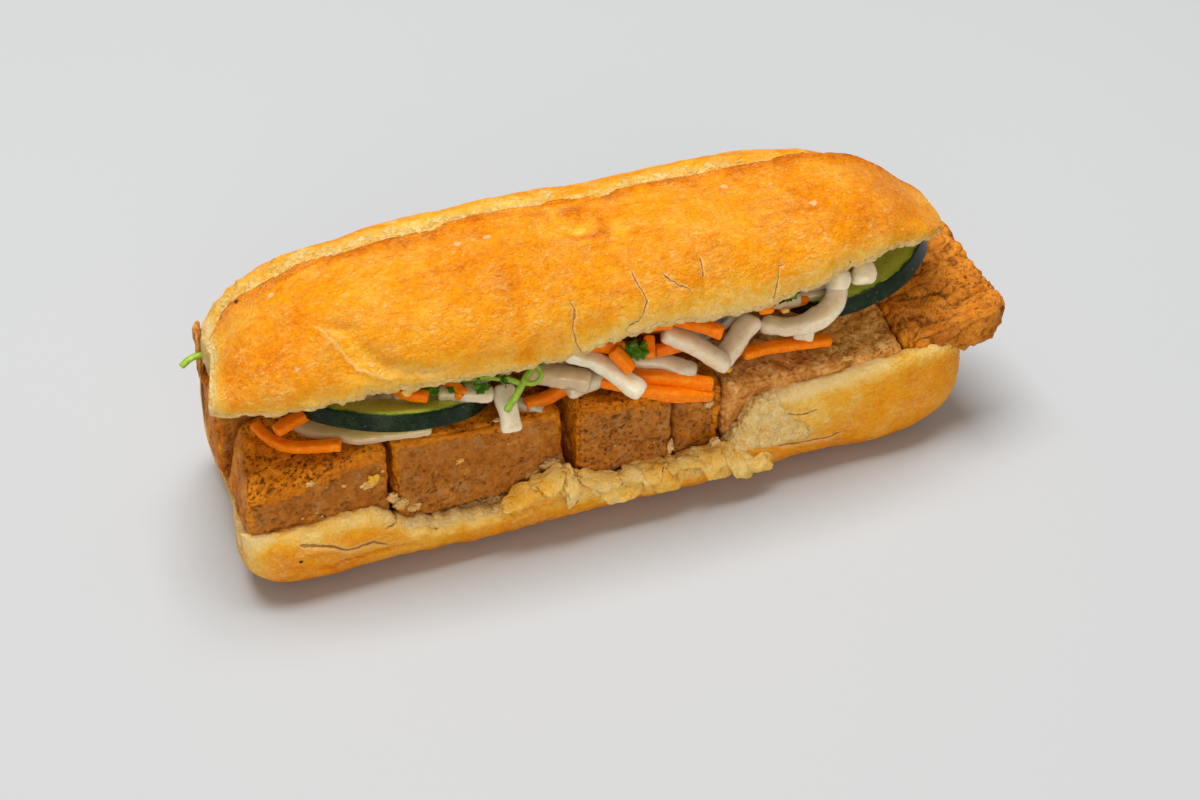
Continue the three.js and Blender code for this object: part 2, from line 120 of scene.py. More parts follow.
def profile(stations):
    xs = np.array([s[0] for s in stations], float)
    ys = np.array([s[1] for s in stations], float)
    n = len(xs)
    m = np.array([(ys[min(n - 1, i + 1)] - ys[max(0, i - 1)]) / (xs[min(n - 1, i + 1)] - xs[max(0, i - 1)]) for i in range(n)])

    def f(x):
        x = np.clip(np.asarray(x, float), xs[0], xs[-1])
        i = np.clip(np.searchsorted(xs, x, side="right") - 1, 0, n - 2)
        h = xs[i + 1] - xs[i]
        t = (x - xs[i]) / h
        return ((2 * t**3 - 3 * t**2 + 1) * ys[i] + (t**3 - 2 * t**2 + t) * h * m[i]
                + (-2 * t**3 + 3 * t**2) * ys[i + 1] + (t**3 - t**2) * h * m[i + 1])

    return f


# ---------------------------------------------------------------- mesh helpers
def mesh_object(name, verts, quads=(), tris=(), attrs=None, body=True):
    v = (np.asarray(verts, float).reshape(-1, 3) + OFF) * 0.001
    q = np.asarray(quads, np.int64).reshape(-1, 4)
    t = np.asarray(tris, np.int64).reshape(-1, 3)
    me = bpy.data.meshes.new(name)
    me.vertices.add(len(v))
    me.vertices.foreach_set("co", v.ravel().astype(np.float32))
    me.loops.add(q.size + t.size)
    me.loops.foreach_set("vertex_index", np.concatenate([q.ravel(), t.ravel()]).astype(np.int32))
    me.polygons.add(len(q) + len(t))
    starts = np.concatenate([np.arange(len(q)) * 4, q.size + np.arange(len(t)) * 3])
    me.polygons.foreach_set("loop_start", starts.astype(np.int32))
    me.update(calc_edges=True)
    me.validate()
    me.polygons.foreach_set("use_smooth", np.ones(len(me.polygons), bool))
    for key, value in (attrs or {}).items():
        a = me.attributes.new(key, "FLOAT", "POINT")
        a.data.foreach_set("value", np.asarray(value, np.float32).ravel())
    ob = bpy.data.objects.new(name, me)
    bpy.context.scene.collection.objects.link(ob)
    return ob


class Pool:
    """several closed forms gathered into one piece"""

    def __init__(self):
        self.v, self.q, self.t, self.a, self.n = [], [], [], {}, 0

    def add(self, verts, quads=(), tris=(), attrs=None):
        verts = np.asarray(verts, float).reshape(-1, 3)
        self.v.append(verts)
        if len(quads):
            self.q.append(np.asarray(quads, np.int64).reshape(-1, 4) + self.n)
        if len(tris):
            self.t.append(np.asarray(tris, np.int64).reshape(-1, 3) + self.n)
        for k, val in (attrs or {}).items():
            self.a.setdefault(k, []).append(np.broadcast_to(np.asarray(val, float), (len(verts),)))
        self.n += len(verts)

    def make(self, name):
        q = np.concatenate(self.q) if self.q else ()
        t = np.concatenate(self.t) if self.t else ()
        return mesh_object(name, np.concatenate(self.v), q, t, {k: np.concatenate(x) for k, x in self.a.items()})


def grid_quads(n, m, wrap_m=True):
    """quads of an n by m grid of vertices, closed round the second index if wrap_m"""
    i = np.arange(n - 1)[:, None]
    j = np.arange(m if wrap_m else m - 1)[None, :]
    j2 = (j + 1) % m
    return np.stack([i * m + j, i * m + j2, (i + 1) * m + j2, (i + 1) * m + j], -1).reshape(-1, 4)


def grid_normals(g, wrap=True):
    """outward normals of a closed loft g[n, m, 3], whichever way it winds"""
    du = np.gradient(g, axis=0)
    dv = (np.roll(g, -1, 1) - np.roll(g, 1, 1)) if wrap else np.gradient(g, axis=1)
    n = np.cross(du, dv)
    n /= np.linalg.norm(n, axis=-1, keepdims=True) + 1e-12
    return n


# ---------------------------------------------------------------- materials
class Mat:
    def __init__(self, name):
        self.m = bpy.data.materials.new(name)
        self.m.use_nodes = True
        self.t = self.m.node_tree
        self.t.nodes.clear()
        self.out = self.t.nodes.new("ShaderNodeOutputMaterial")
        self.bsdf = self.t.nodes.new("ShaderNodeBsdfPrincipled")
        self.t.links.new(self.bsdf.outputs[0], self.out.inputs[0])
        tc = self.t.nodes.new("ShaderNodeTexCoord")
        self.mm = self.vec("SCALE", tc.outputs["Object"], scale=1000.0)

    def put(self, socket, value):
        if isinstance(value, bpy.types.NodeSocket):
            self.t.links.new(value, socket)
        elif value is not None:
            if hasattr(socket.default_value, "__len__") and not hasattr(value, "__len__"):
                value = (value, value, value)
            if hasattr(socket.default_value, "__len__") and len(socket.default_value) == 4 and len(value) == 3:
                value = (*value, 1.0)
            socket.default_value = value

    def vec(self, op, a, b=None, scale=None):
        n = self.t.nodes.new("ShaderNodeVectorMath")
        n.operation = op
        self.put(n.inputs[0], a)
        if b is not None:
            self.put(n.inputs[1], b)
        if scale is not None:
            n.inputs["Scale"].default_value = scale
        return n.outputs["Value"] if op in ("LENGTH", "DOT_PRODUCT", "DISTANCE") else n.outputs["Vector"]

    def math(self, op, a, b=None, c=None, clamp=False):
        n = self.t.nodes.new("ShaderNodeMath")
        n.operation = op
        n.use_clamp = clamp
        for k, v in enumerate((a, b, c)):
            if v is not None:
                self.put(n.inputs[k], v)
        return n.outputs[0]

    def noise(self, scale, detail=3, rough=0.5, at=None, stretch=None, distort=0.0):
        n = self.t.nodes.new("ShaderNodeTexNoise")
        at = at or self.mm
        if stretch:
            at = self.vec("MULTIPLY", at, stretch)
        self.put(n.inputs["Vector"], at)
        n.inputs["Scale"].default_value = scale
        n.inputs["Detail"].default_value = detail
        n.inputs["Roughness"].default_value = rough
        n.inputs["Distortion"].default_value = distort
        return n.outputs["Fac"]

    def voronoi(self, scale, at=None, stretch=None, feature="F1", rand=1.0):
        n = self.t.nodes.new("ShaderNodeTexVoronoi")
        n.feature = feature
        at = at or self.mm
        if stretch:
            at = self.vec("MULTIPLY", at, stretch)
        self.put(n.inputs["Vector"], at)
        n.inputs["Scale"].default_value = scale
        n.inputs["Randomness"].default_value = rand
        return n.outputs["Distance"], n.outputs["Color"] if feature != "DISTANCE_TO_EDGE" else None

    def step(self, value, a, b, lo=0.0, hi=1.0):
        n = self.t.nodes.new("ShaderNodeMapRange")
        n.interpolation_type = "SMOOTHSTEP"
        self.put(n.inputs["Value"], value)
        n.inputs["From Min"].default_value = a
        n.inputs["From Max"].default_value = b
        n.inputs["To Min"].default_value = lo
        n.inputs["To Max"].default_value = hi
        return n.outputs["Result"]

    def attr(self, name):
        n = self.t.nodes.new("ShaderNodeAttribute")
        n.attribute_name = name
        return n.outputs["Fac"]

    def ramp(self, fac, stops):
        n = self.t.nodes.new("ShaderNodeValToRGB")
        self.put(n.inputs["Fac"], fac)
        els = n.color_ramp.elements
        while len(els) < len(stops):
            els.new(0.5)
        for e, (p, c) in zip(els, stops):
            e.position = p
            e.color = (*c, 1.0)
        return n.outputs["Color"]

    def mix(self, fac, a, b, mode="MIX"):
        n = self.t.nodes.new("ShaderNodeMix")
        n.data_type = "RGBA"
        n.blend_type = mode
        ins = [i for i in n.inputs if i.type == "RGBA"]
        self.put(n.inputs[0], fac)
        self.put(ins[0], a)
        self.put(ins[1], b)
        return [o for o in n.outputs if o.type == "RGBA"][0]

    def bump(self, height, distance_mm, strength=1.0, normal=None):
        n = self.t.nodes.new("ShaderNodeBump")
        self.put(n.inputs["Height"], height)
        n.inputs["Distance"].default_value = distance_mm * 0.001
        n.inputs["Strength"].default_value = strength
        if normal is not None:
            self.put(n.inputs["Normal"], normal)
        return n.outputs["Normal"]

    def done(self, color, rough, normal=None, **sockets):
        b = self.bsdf.inputs
        self.put(b["Base Color"], color)
        self.put(b["Roughness"], rough)
        if normal is not None:
            self.put(b["Normal"], normal)
        for key, value in sockets.items():
            b[key.replace("_", " ")].default_value = value
        return self.m


def crust_material():
    m = Mat("crust")
    bake, crumb = m.attr("bake"), m.attr("crumb")
    big = m.noise(0.05, 3, 0.55)
    mid = m.noise(0.20, 4, 0.62, stretch=(0.7, 1.0, 1.0))
    streak = m.noise(0.46, 5, 0.68, stretch=(0.62, 1.0, 1.0), distort=0.6)
    fine = m.noise(1.5, 4, 0.7)
    vein_noise = m.noise(0.33, 6, 0.7, stretch=(0.65, 1.0, 1.0), distort=0.9)
    vein = m.step(m.math("ABSOLUTE", m.math("SUBTRACT", vein_noise, 0.5)), 0.045, 0.0)
    grain = m.step(m.math("ABSOLUTE", m.math("SUBTRACT", fine, 0.5)), 0.07, 0.0)
    level = m.math("ADD", bake, m.math("MULTIPLY", m.math("SUBTRACT", big, 0.5), 0.66))
    level = m.math("ADD", level, m.math("MULTIPLY", m.math("SUBTRACT", mid, 0.5), 0.46))
    level = m.math("ADD", level, m.math("MULTIPLY", m.math("SUBTRACT", streak, 0.53), 0.42))
    speck_noise = m.noise(0.95, 3, 0.6, stretch=(0.75, 1.0, 1.0), distort=0.3)
    level = m.math("ADD", level, m.math("MULTIPLY", m.math("SUBTRACT", m.step(speck_noise, 0.36, 0.64), 0.62), 0.13))
    level = m.math("ADD", level, m.math("MULTIPLY", m.math("SUBTRACT", m.step(fine, 0.36, 0.64), 0.62), 0.12), clamp=True)
    crust = m.ramp(level, [(0.0, (0.97, 0.72, 0.32)), (0.18, (0.99, 0.62, 0.135)), (0.38, (0.96, 0.45, 0.022)),
                           (0.60, (0.92, 0.325, 0.003)), (0.80, (0.80, 0.225, 0.001)), (1.0, (0.55, 0.12, 0.001))])
    patch = m.step(m.noise(0.12, 3, 0.6), 0.42, 0.62)
    pale = m.math("MULTIPLY", vein, m.math("ADD", 0.10, m.math("MULTIPLY", patch, 0.36)))
    pale = m.math("MAXIMUM", pale, m.math("MULTIPLY", grain, m.math("MULTIPLY", patch, 0.34)))
    fleck_noise = m.noise(0.85, 4, 0.62, stretch=(0.5, 1.0, 1.0), distort=0.5)
    pale = m.math("MAXIMUM", pale, m.math("MULTIPLY", m.step(fleck_noise, 0.54, 0.62), m.math("ADD", 0.22, m.math("MULTIPLY", patch, 0.50))))
    pale = m.math("MULTIPLY", pale, m.step(bake, 0.85, 0.35, 0.45, 1.0))
    crust = m.mix(pale, crust, (1.0, 0.70, 0.22))
    # a few pale flakes
    chip, chip_rand = m.voronoi(0.16, stretch=(0.7, 1.0, 1.0))
    chip = m.math("ADD", chip, m.math("MULTIPLY", m.math("SUBTRACT", m.noise(0.9, 3), 0.5), 0.3))
    flake = m.math("MULTIPLY", m.step(chip, 0.13, 0.10), m.step(m.vec("DOT_PRODUCT", chip_rand, (1.0, 0.0, 0.0)), 0.78, 0.80))
    crust = m.mix(m.math("MULTIPLY", flake, 0.5), crust, (0.93, 0.68, 0.42))
    grit, grit_rand = m.voronoi(0.85, stretch=(0.7, 1.0, 1.0))
    grit = m.math("MULTIPLY", m.step(grit, 0.26, 0.12), m.step(m.vec("DOT_PRODUCT", grit_rand, (1.0, 0.0, 0.0)), 0.62, 0.70))
    crust = m.mix(m.math("MULTIPLY", grit, 0.34), crust, (0.99, 0.72, 0.30))
    soft = m.noise(0.5, 5, 0.7)
    inner = m.ramp(soft, [(0.25, (0.84, 0.46, 0.09)), (0.5, (0.97, 0.68, 0.25)), (0.75, (1.0, 0.88, 0.56))])
    blend = m.step(m.math("ADD", crumb, m.math("MULTIPLY", m.math("SUBTRACT", m.noise(0.42, 5, 0.68), 0.5), 1.1)), 0.36, 0.64)
    color = m.mix(blend, crust, inner)
    # fine dark cracks and the pale raised scar
    dist = m.math("ABSOLUTE", m.math("ADD", m.attr("crack_at"), m.math("MULTIPLY", m.math("SUBTRACT", m.noise(0.9, 4, 0.65), 0.5), 1.2)))
    reach = m.math("DIVIDE", dist, m.math("ADD", m.attr("crack_wide"), 0.002))
    line = m.step(reach, 0.95, 0.30)
    color = m.mix(m.math("MULTIPLY", m.step(reach, 4.2, 1.6), 0.34), color, (1.0, 0.76, 0.34))
    color = m.mix(m.math("MULTIPLY", line, 0.62), color, (0.30, 0.085, 0.006))
    sdist = m.math("ABSOLUTE", m.math("ADD", m.attr("scar_at"), m.math("MULTIPLY", m.math("SUBTRACT", m.noise(0.6, 4, 0.6), 0.5), 1.4)))
    sline = m.step(m.math("DIVIDE", sdist, m.math("ADD", m.attr("scar_wide"), 0.002)), 1.1, 0.4)
    color = m.mix(m.math("MULTIPLY", sline, 0.42), color, (0.96, 0.66, 0.26))
    h = m.math("ADD", m.math("MULTIPLY", streak, 0.7), m.math("ADD", m.math("MULTIPLY", fine, 0.5), m.math("MULTIPLY", speck_noise, 0.6)))
    h = m.math("ADD", h, m.math("ADD", m.math("MULTIPLY", vein, 0.05), m.math("MULTIPLY", m.step(fleck_noise, 0.55, 0.63), 0.10)))
    h = m.math("ADD", h, m.math("ADD", m.math("MULTIPLY", flake, 0.12), m.math("MULTIPLY", grit, 0.16)))
    h = m.math("SUBTRACT", h, m.math("MULTIPLY", line, 0.8))
    cell, _ = m.voronoi(1.0)
    h = m.math("ADD", h, m.math("MULTIPLY", m.math("MULTIPLY", blend, cell), 0.9))
    rough = m.math("ADD", m.step(level, 0.1, 0.9, 0.52, 0.40), m.math("MULTIPLY", blend, 0.3), clamp=True)
    return m.done(color, rough, m.bump(h, 0.8, 1.0), Specular_IOR_Level=0.05)


def tofu_material():
    m = Mat("fried_tofu")
    skin, pit, tone, pore = m.attr("skin"), m.attr("pit"), m.attr("tone"), m.attr("pore")
    big = m.noise(0.10, 4, 0.6)
    mid = m.noise(0.38, 5, 0.68, distort=0.5)
    fine = m.noise(1.6, 4, 0.68)
    mixed = m.math("ADD", m.math("MULTIPLY", big, 0.4), m.math("ADD", m.math("MULTIPLY", mid, 0.44), m.math("MULTIPLY", fine, 0.16)))
    cut = m.ramp(mixed, [(0.36, (0.32, 0.094, 0.008)), (0.46, (0.45, 0.148, 0.015)), (0.54, (0.54, 0.196, 0.024)), (0.64, (0.72, 0.32, 0.06))])
    brown = m.ramp(mixed, [(0.36, (0.38, 0.094, 0.002)), (0.46, (0.58, 0.168, 0.004)), (0.55, (0.76, 0.25, 0.007)), (0.65, (0.93, 0.42, 0.04))])
    side = m.step(m.math("ADD", skin, m.math("MULTIPLY", m.math("SUBTRACT", m.noise(0.28, 5, 0.7), 0.5), 1.3)), 0.34, 0.66)
    color = m.mix(side, cut, brown)
    grey = m.math("MULTIPLY", m.step(m.noise(0.22, 5, 0.7), 0.52, 0.66), m.math("SUBTRACT", 1.0, side))
    color = m.mix(m.math("MULTIPLY", grey, 0.55), color, (0.46, 0.25, 0.09))
    color = m.mix(m.math("MULTIPLY", tone, 0.95), color, m.ramp(m.noise(0.26, 5, 0.66, distort=0.6), [(0.36, (0.46, 0.17, 0.025)), (0.47, (0.74, 0.32, 0.07)), (0.56, (0.90, 0.46, 0.13)), (0.66, (1.0, 0.66, 0.26))]))
    hole_noise = m.noise(0.85, 3, 0.55, distort=0.3)
    hole = m.math("MULTIPLY", m.step(hole_noise, 0.42, 0.37), pore)
    pore_at, pore_rand = m.voronoi(0.72, stretch=(0.85, 1.0, 1.0))
    pore_at = m.math("ADD", pore_at, m.math("MULTIPLY", m.math("SUBTRACT", fine, 0.5), 0.25))
    dots = m.math("MULTIPLY", m.step(pore_at, 0.27, 0.15), m.step(m.vec("DOT_PRODUCT", pore_rand, (1.0, 0.0, 0.0)), 0.45, 0.52))
    hole = m.math("MAXIMUM", m.math("MULTIPLY", hole, 0.75), m.math("MULTIPLY", dots, m.math("MINIMUM", m.math("MULTIPLY", pore, 1.3), 1.0)))
    speck, speck_rand = m.voronoi(0.62)
    speck = m.math("ADD", speck, m.math("MULTIPLY", m.math("SUBTRACT", fine, 0.5), 0.5))
    light = m.math("MULTIPLY", m.step(speck, 0.2, 0.1), m.step(m.vec("DOT_PRODUCT", speck_rand, (1.0, 0.0, 0.0)), 0.80, 0.84))
    color = m.mix(m.math("MULTIPLY", light, 0.4), color, (0.76, 0.50, 0.20))
    # painted shade: holes, dots and the pit attribute darken pores, slits, the split gap and wrinkle creases nearly to
    # black, for the shade inside them
    color = m.mix(m.math("MULTIPLY", hole, 0.72), color, (0.15, 0.040, 0.003))
    color = m.mix(m.math("MULTIPLY", pit, 0.85), color, (0.07, 0.018, 0.002))
    h = m.math("ADD", m.math("MULTIPLY", fine, 0.34), m.math("MULTIPLY", mid, 0.5))
    h = m.math("SUBTRACT", h, m.math("MULTIPLY", hole, 1.0))
    rough = m.math("ADD", 0.30, m.math("MULTIPLY", mid, 0.3))
    return m.done(color, rough, m.bump(h, 1.0, 1.0), Specular_IOR_Level=0.11)


def cucumber_material():
    m = Mat("cucumber")
    rim, rad = m.attr("rim"), m.attr("rad")
    n1, n2 = m.noise(0.35, 4, 0.6), m.noise(1.6, 3, 0.6)
    skin = m.ramp(m.math("ADD", m.math("MULTIPLY", n1, 0.7), m.math("MULTIPLY", n2, 0.3)),
                  [(0.34, (0.002, 0.007, 0.002)), (0.52, (0.005, 0.017, 0.005)), (0.68, (0.018, 0.042, 0.010))])
    dot, dot_rand = m.voronoi(0.45)
    dots = m.math("MULTIPLY", m.step(dot, 0.14, 0.08), m.step(m.vec("DOT_PRODUCT", dot_rand, (1.0, 0.0, 0.0)), 0.6, 0.65))
    skin = m.mix(m.math("MULTIPLY", dots, 0.5), skin, (0.20, 0.26, 0.12))
    level = m.math("ADD", rad, m.math("MULTIPLY", m.math("SUBTRACT", n1, 0.5), 0.10))
    flesh = m.ramp(level, [(0.0, (0.76, 0.76, 0.20)), (0.5, (0.80, 0.80, 0.22)), (0.66, (0.60, 0.65, 0.08)),
                           (0.90, (0.64, 0.72, 0.10)), (0.965, (0.40, 0.54, 0.04)), (0.985, (0.06, 0.13, 0.015)), (1.0, (0.02, 0.05, 0.012))])
    color = m.mix(m.step(rim, 0.35, 0.6), flesh, skin)
    return m.done(color, m.step(n2, 0.3, 0.7, 0.20, 0.34), m.bump(m.math("ADD", n1, m.math("MULTIPLY", n2, 0.4)), 0.3, 0.4),
                  Specular_IOR_Level=0.2)


def daikon_material():
    m = Mat("daikon")
    shade = m.attr("shade")
    n1, n2 = m.noise(0.35, 4, 0.6), m.noise(1.4, 4, 0.65, stretch=(0.5, 1.0, 1.0))
    base = m.ramp(m.math("ADD", m.math("MULTIPLY", n1, 0.6), m.math("MULTIPLY", n2, 0.4)),
                  [(0.32, (0.80, 0.65, 0.43)), (0.46, (0.90, 0.78, 0.57)), (0.58, (0.95, 0.86, 0.67)), (0.70, (0.98, 0.94, 0.82))])
    color = m.mix(shade, base, (0.46, 0.28, 0.10))
    return m.done(color, m.step(n1, 0.3, 0.7, 0.12, 0.26), m.bump(m.math("ADD", n1, m.math("MULTIPLY", n2, 0.3)), 0.2, 0.4),
                  Specular_IOR_Level=0.5, Coat_Weight=0.35, Coat_Roughness=0.08, Subsurface_Weight=0.85, Subsurface_Radius=(0.004, 0.0034, 0.0024), Subsurface_Scale=1.0)


def carrot_material():
    m = Mat("carrot")
    shade = m.attr("shade")
    n1, n2 = m.noise(0.5, 4, 0.6), m.noise(2.0, 3, 0.6)
    base = m.ramp(m.math("ADD", m.math("MULTIPLY", n1, 0.6), m.math("MULTIPLY", n2, 0.4)),
                  [(0.32, (0.94, 0.15, 0.0005)), (0.5, (1.0, 0.23, 0.001)), (0.68, (1.0, 0.38, 0.006))])
    color = m.mix(shade, base, (0.62, 0.11, 0.001))
    return m.done(color, m.step(n1, 0.3, 0.7, 0.26, 0.42), m.bump(m.math("ADD", n1, m.math("MULTIPLY", n2, 0.6)), 0.4, 0.5),
                  Specular_IOR_Level=0.12, Coat_Weight=0.04, Coat_Roughness=0.10, Subsurface_Weight=0.12, Subsurface_Radius=(0.003, 0.001, 0.0003), Subsurface_Scale=0.8)


def herb_material():
    m = Mat("coriander")
    leaf = m.attr("leaf")
    n1 = m.noise(1.0, 4, 0.6)
    stem = m.ramp(n1, [(0.3, (0.18, 0.36, 0.01)), (0.7, (0.42, 0.62, 0.06))])
    blade = m.ramp(n1, [(0.3, (0.02, 0.10, 0.003)), (0.7, (0.10, 0.28, 0.01))])
    return m.done(m.mix(leaf, stem, blade), 0.36, m.bump(n1, 0.25, 0.5), Specular_IOR_Level=0.35)


def bits_material():
    m = Mat("garlic_bits")
    n1 = m.noise(0.8, 4, 0.6)
    color = m.mix(m.attr("gold"), m.ramp(n1, [(0.3, (0.50, 0.27, 0.08)), (0.7, (0.84, 0.62, 0.32))]), (0.88, 0.47, 0.02))
    return m.done(color, 0.45, m.bump(n1, 0.3, 0.5), Specular_IOR_Level=0.3)


MATS = {"crust": crust_material(), "fried_tofu": tofu_material(), "cucumber": cucumber_material(), "daikon": daikon_material(),
        "carrot": carrot_material(), "coriander": herb_material(), "bits": bits_material()}


def dress(ob, mat, slot, *nodes):
    ob.data.materials.append(MATS[mat])
    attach(ob, "root")
    if nodes:
        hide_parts(*nodes)
    return ob


# ---------------------------------------------------------------- the roll
TOP_LEFT, TOP_RIGHT, BOTTOM_LEFT, BOTTOM_RIGHT = -99.6, 91.0, -101.8, 92.0
HALF, CAVITY, FLOOR, CEILING, FOOT, WIDE, BACK = 32.8, 27.0, 12.5, 52.0, 19.0, 13.0, 46.0
END_WALL = 0.25
lip_height = profile([[-101, 21], [-85, 21], [-73, 21.8], [-66, 19], [-61, 15.5], [-40, 12.8], [-20, 13.5], [-14, 12.6], [0, 12.4], [18, 12.8], [22, 15],
                      [26, 20.5], [29, 26.0], [36, 27.4], [44, 28], [72, 29.5], [85, 28.5], [92, 27]])
edge_height = profile([[-103, 49], [-85, 51.5], [-47, 51], [-15, 52.5], [4, 55.5], [29, 53.5], [54, 57], [66, 58.5], [80, 56.5], [92, 51.5]])
edge_reach = profile([[-103, -13.5], [-98, -18.5], [-92, -22], [-86, -23.8], [-70, -25], [-35, -28], [29, -27.5], [54, -25.5], [76, -20.5], [87, -15], [92, -8]])
crown_height = profile([[-101, 57], [-98, 61], [-94, 64.8], [-85, 69.6], [-76, 73], [-51, 75.6], [-26, 77], [0, 75.8], [48, 75.2],
                        [61, 74.6], [70, 71.6], [78, 66.2], [86, 60.4], [92, 57.4]])
back_drop = profile([[-100, 1.2], [0, 1.0], [25, 1.0], [50, 2.2], [70, 4.2], [92, 3]])


def sarc(t, n):
    return np.cos(t).clip(0) ** (2 / n), np.sin(t).clip(0) ** (2 / n)


def section(x):
    """cross-section at x: columns y, z, part, a place number used for colour"""
    lip = float(lip_height(x))
    edge_z = float(edge_height(x))
    edge_y = float(edge_reach(x))
    crown = float(crown_height(x))
    # torn, uneven edges
    jag = lambda a, b, s: a * float(line_noise(x, 4.2, s)[0]) + b * float(line_noise(x, 1.5, s + 5)[0]) + 0.4 * b * float(line_noise(x, 0.7, s + 9)[0])
    inside = smooth(-99, -92, x) * smooth(92, 86, x)
    edge_z += 1.5 * (smooth(-73.5, -70.2, x) - smooth(-50, -30, x))
    jz = inside * jag(0.9, 0.8, 0.0)
    jy = inside * jag(0.6, 0.5, 2.0)
    torn = smooth(-64, -58, x) * smooth(60, 30, x)
    lip += inside * (jag(0.5, 0.4, 4.0) + torn * jag(0.6, 0.7, 6.0))
    wide = min(WIDE, lip - 3)
    out = []

    def put(y, z, part, place=0.0):
        out.append(np.stack([np.atleast_1d(y) * 1.0, np.atleast_1d(z) * 1.0, np.full(np.size(y), float(part)),
                             np.broadcast_to(np.asarray(place, float), (np.size(y),))], 1))

    # lip: inner edge over the crest to the outside
    t = np.linspace(0, 1, 9)
    put(-CAVITY - (31.4 - CAVITY) * t, lip - 0.9 + 1.0 * np.sin(t * math.pi * 0.62) - 0.9 * np.maximum(0, t - 0.6) * 2.2, 1, 1.0)
    t = np.linspace(0, 1, 13)[1:]
    put(-31.4 - (HALF - 31.4) * np.sin(t * math.pi / 2), lerp(lip - 1.55, wide, t), 1, 0.8 * (1 - t))
    c, s = sarc(np.linspace(0, 1, 27)[1:] * math.pi / 2, 2.05)
    put(-FOOT - (HALF - FOOT) * c, wide - wide * s, 1)
    put(np.linspace(-FOOT, FOOT, 9)[1:-1], np.zeros(7), 1)
    s, c = sarc(np.linspace(0, 1, 10) * math.pi / 2, 2.05)
    put(FOOT + (HALF - FOOT) * c, WIDE - WIDE * s, 1)
    hz = np.linspace(15, 44, 9)
    hinge = profile([[13, HALF], [19, 32.5], [25, 31.6], [29, 30.88], [33, 31.6], [40, 32.6], [46, HALF - 0.2]])
    put(hinge(hz), hz, 2)
    # back of the top leaf, then the ear
    y = np.concatenate([np.linspace(HALF - 0.2, 17.5, 13), np.linspace(16.8, 2.2, 30)])
    frac = np.clip((y - 2) / (HALF - 2.2), 0, 1)
    top = crown - float(back_drop(x))
    put(y, lerp(BACK, top, (1 - frac**1.9).clip(0) ** (1 / 1.9)), 3, 0)
    base = edge_z + 3.2
    s, c = sarc(np.linspace(0, 1, 113)[1:] * math.pi / 2, 2.15)
    put([1.6], [crown - 0.25], 3, 0)
    put([1.2], [crown], 3, 0)
    near_edge = np.linspace(0, 1, 113)[1:] ** 12
    put(lerp(1.2, edge_y - 2, c) + 0.7 * jy * near_edge, lerp(base, crown, s) + 0.7 * jz * near_edge, 3)
    t = np.linspace(0, 1, 9)[1:]
    a = t * math.pi * 0.62
    put(edge_y + jy - 0.4 - 1.6 * np.cos(a), base + jz - 0.2 - 2.9 * np.sin(a * 0.82), 3, 1.0)
    # crumb side
    roof = min(max(CEILING, float(edge_height(x)) + 1.4), crown - 2.5)
    roof = lerp(min(roof, 46.5), roof, smooth(-98, -86, x))
    knots = [(edge_y + 1.6, edge_z + 0.35), (edge_y + 2.6, edge_z + 0.7), (lerp(edge_y, 0, 0.35), lerp(edge_z + 1, roof, 0.7)), (lerp(edge_y, 0, 0.75), roof),
             (6, roof - 0.2), (17, min(CEILING, roof) - 1.5), (24.5, 46), (CAVITY, 38), (CAVITY, 27), (25.5, 18.5), (21, FLOOR + 0.6), (8, FLOOR), (-8, FLOOR),
             (-19, min(FLOOR, lip - 0.4)), (-24.5, min(FLOOR + 0.8, lip - 0.6)), (-26.6, lerp(min(FLOOR + 2, lip - 0.7), lip - 1, 0.5))]
    k = np.array(knots)
    seg = [4, 6, 3, 2, 2, 2, 2, 2, 1, 2, 2, 2, 2, 6, 4]
    for i, n in enumerate(seg):
        t = np.arange(n) / n
        put(lerp(k[i, 0], k[i + 1, 0], t), lerp(k[i, 1], k[i + 1, 1], t), 0)
    put(k[-1, 0], k[-1, 1], 0)
    return np.concatenate(out), edge_z, edge_y, crown, roof, lip


def round_off(d, r, n):
    return (1 - (1 - np.clip(d / r, 0, 1)) ** n).clip(0) ** (1 / n)


BOTTOM_CRACKS = [
    ([(-89.5, 18.0), (-86.4, 17.2), (-81.3, 15.6), (-78.0, 13.4), (-75.3, 13.2), (-71.4, 14.0), (-67.4, 11.4)], 0.42),
    ([(-68.0, 16.6), (-64.9, 17.2), (-63.6, 18.6), (-59.4, 18.2)], 0.30),
    ([(36.0, 12.4), (46.2, 11.2), (50.4, 10.6), (54.4, 11.6)], 0.34),
    ([(38.0, 21.6), (43.0, 20.4), (47.0, 21.0)], 0.22),
]


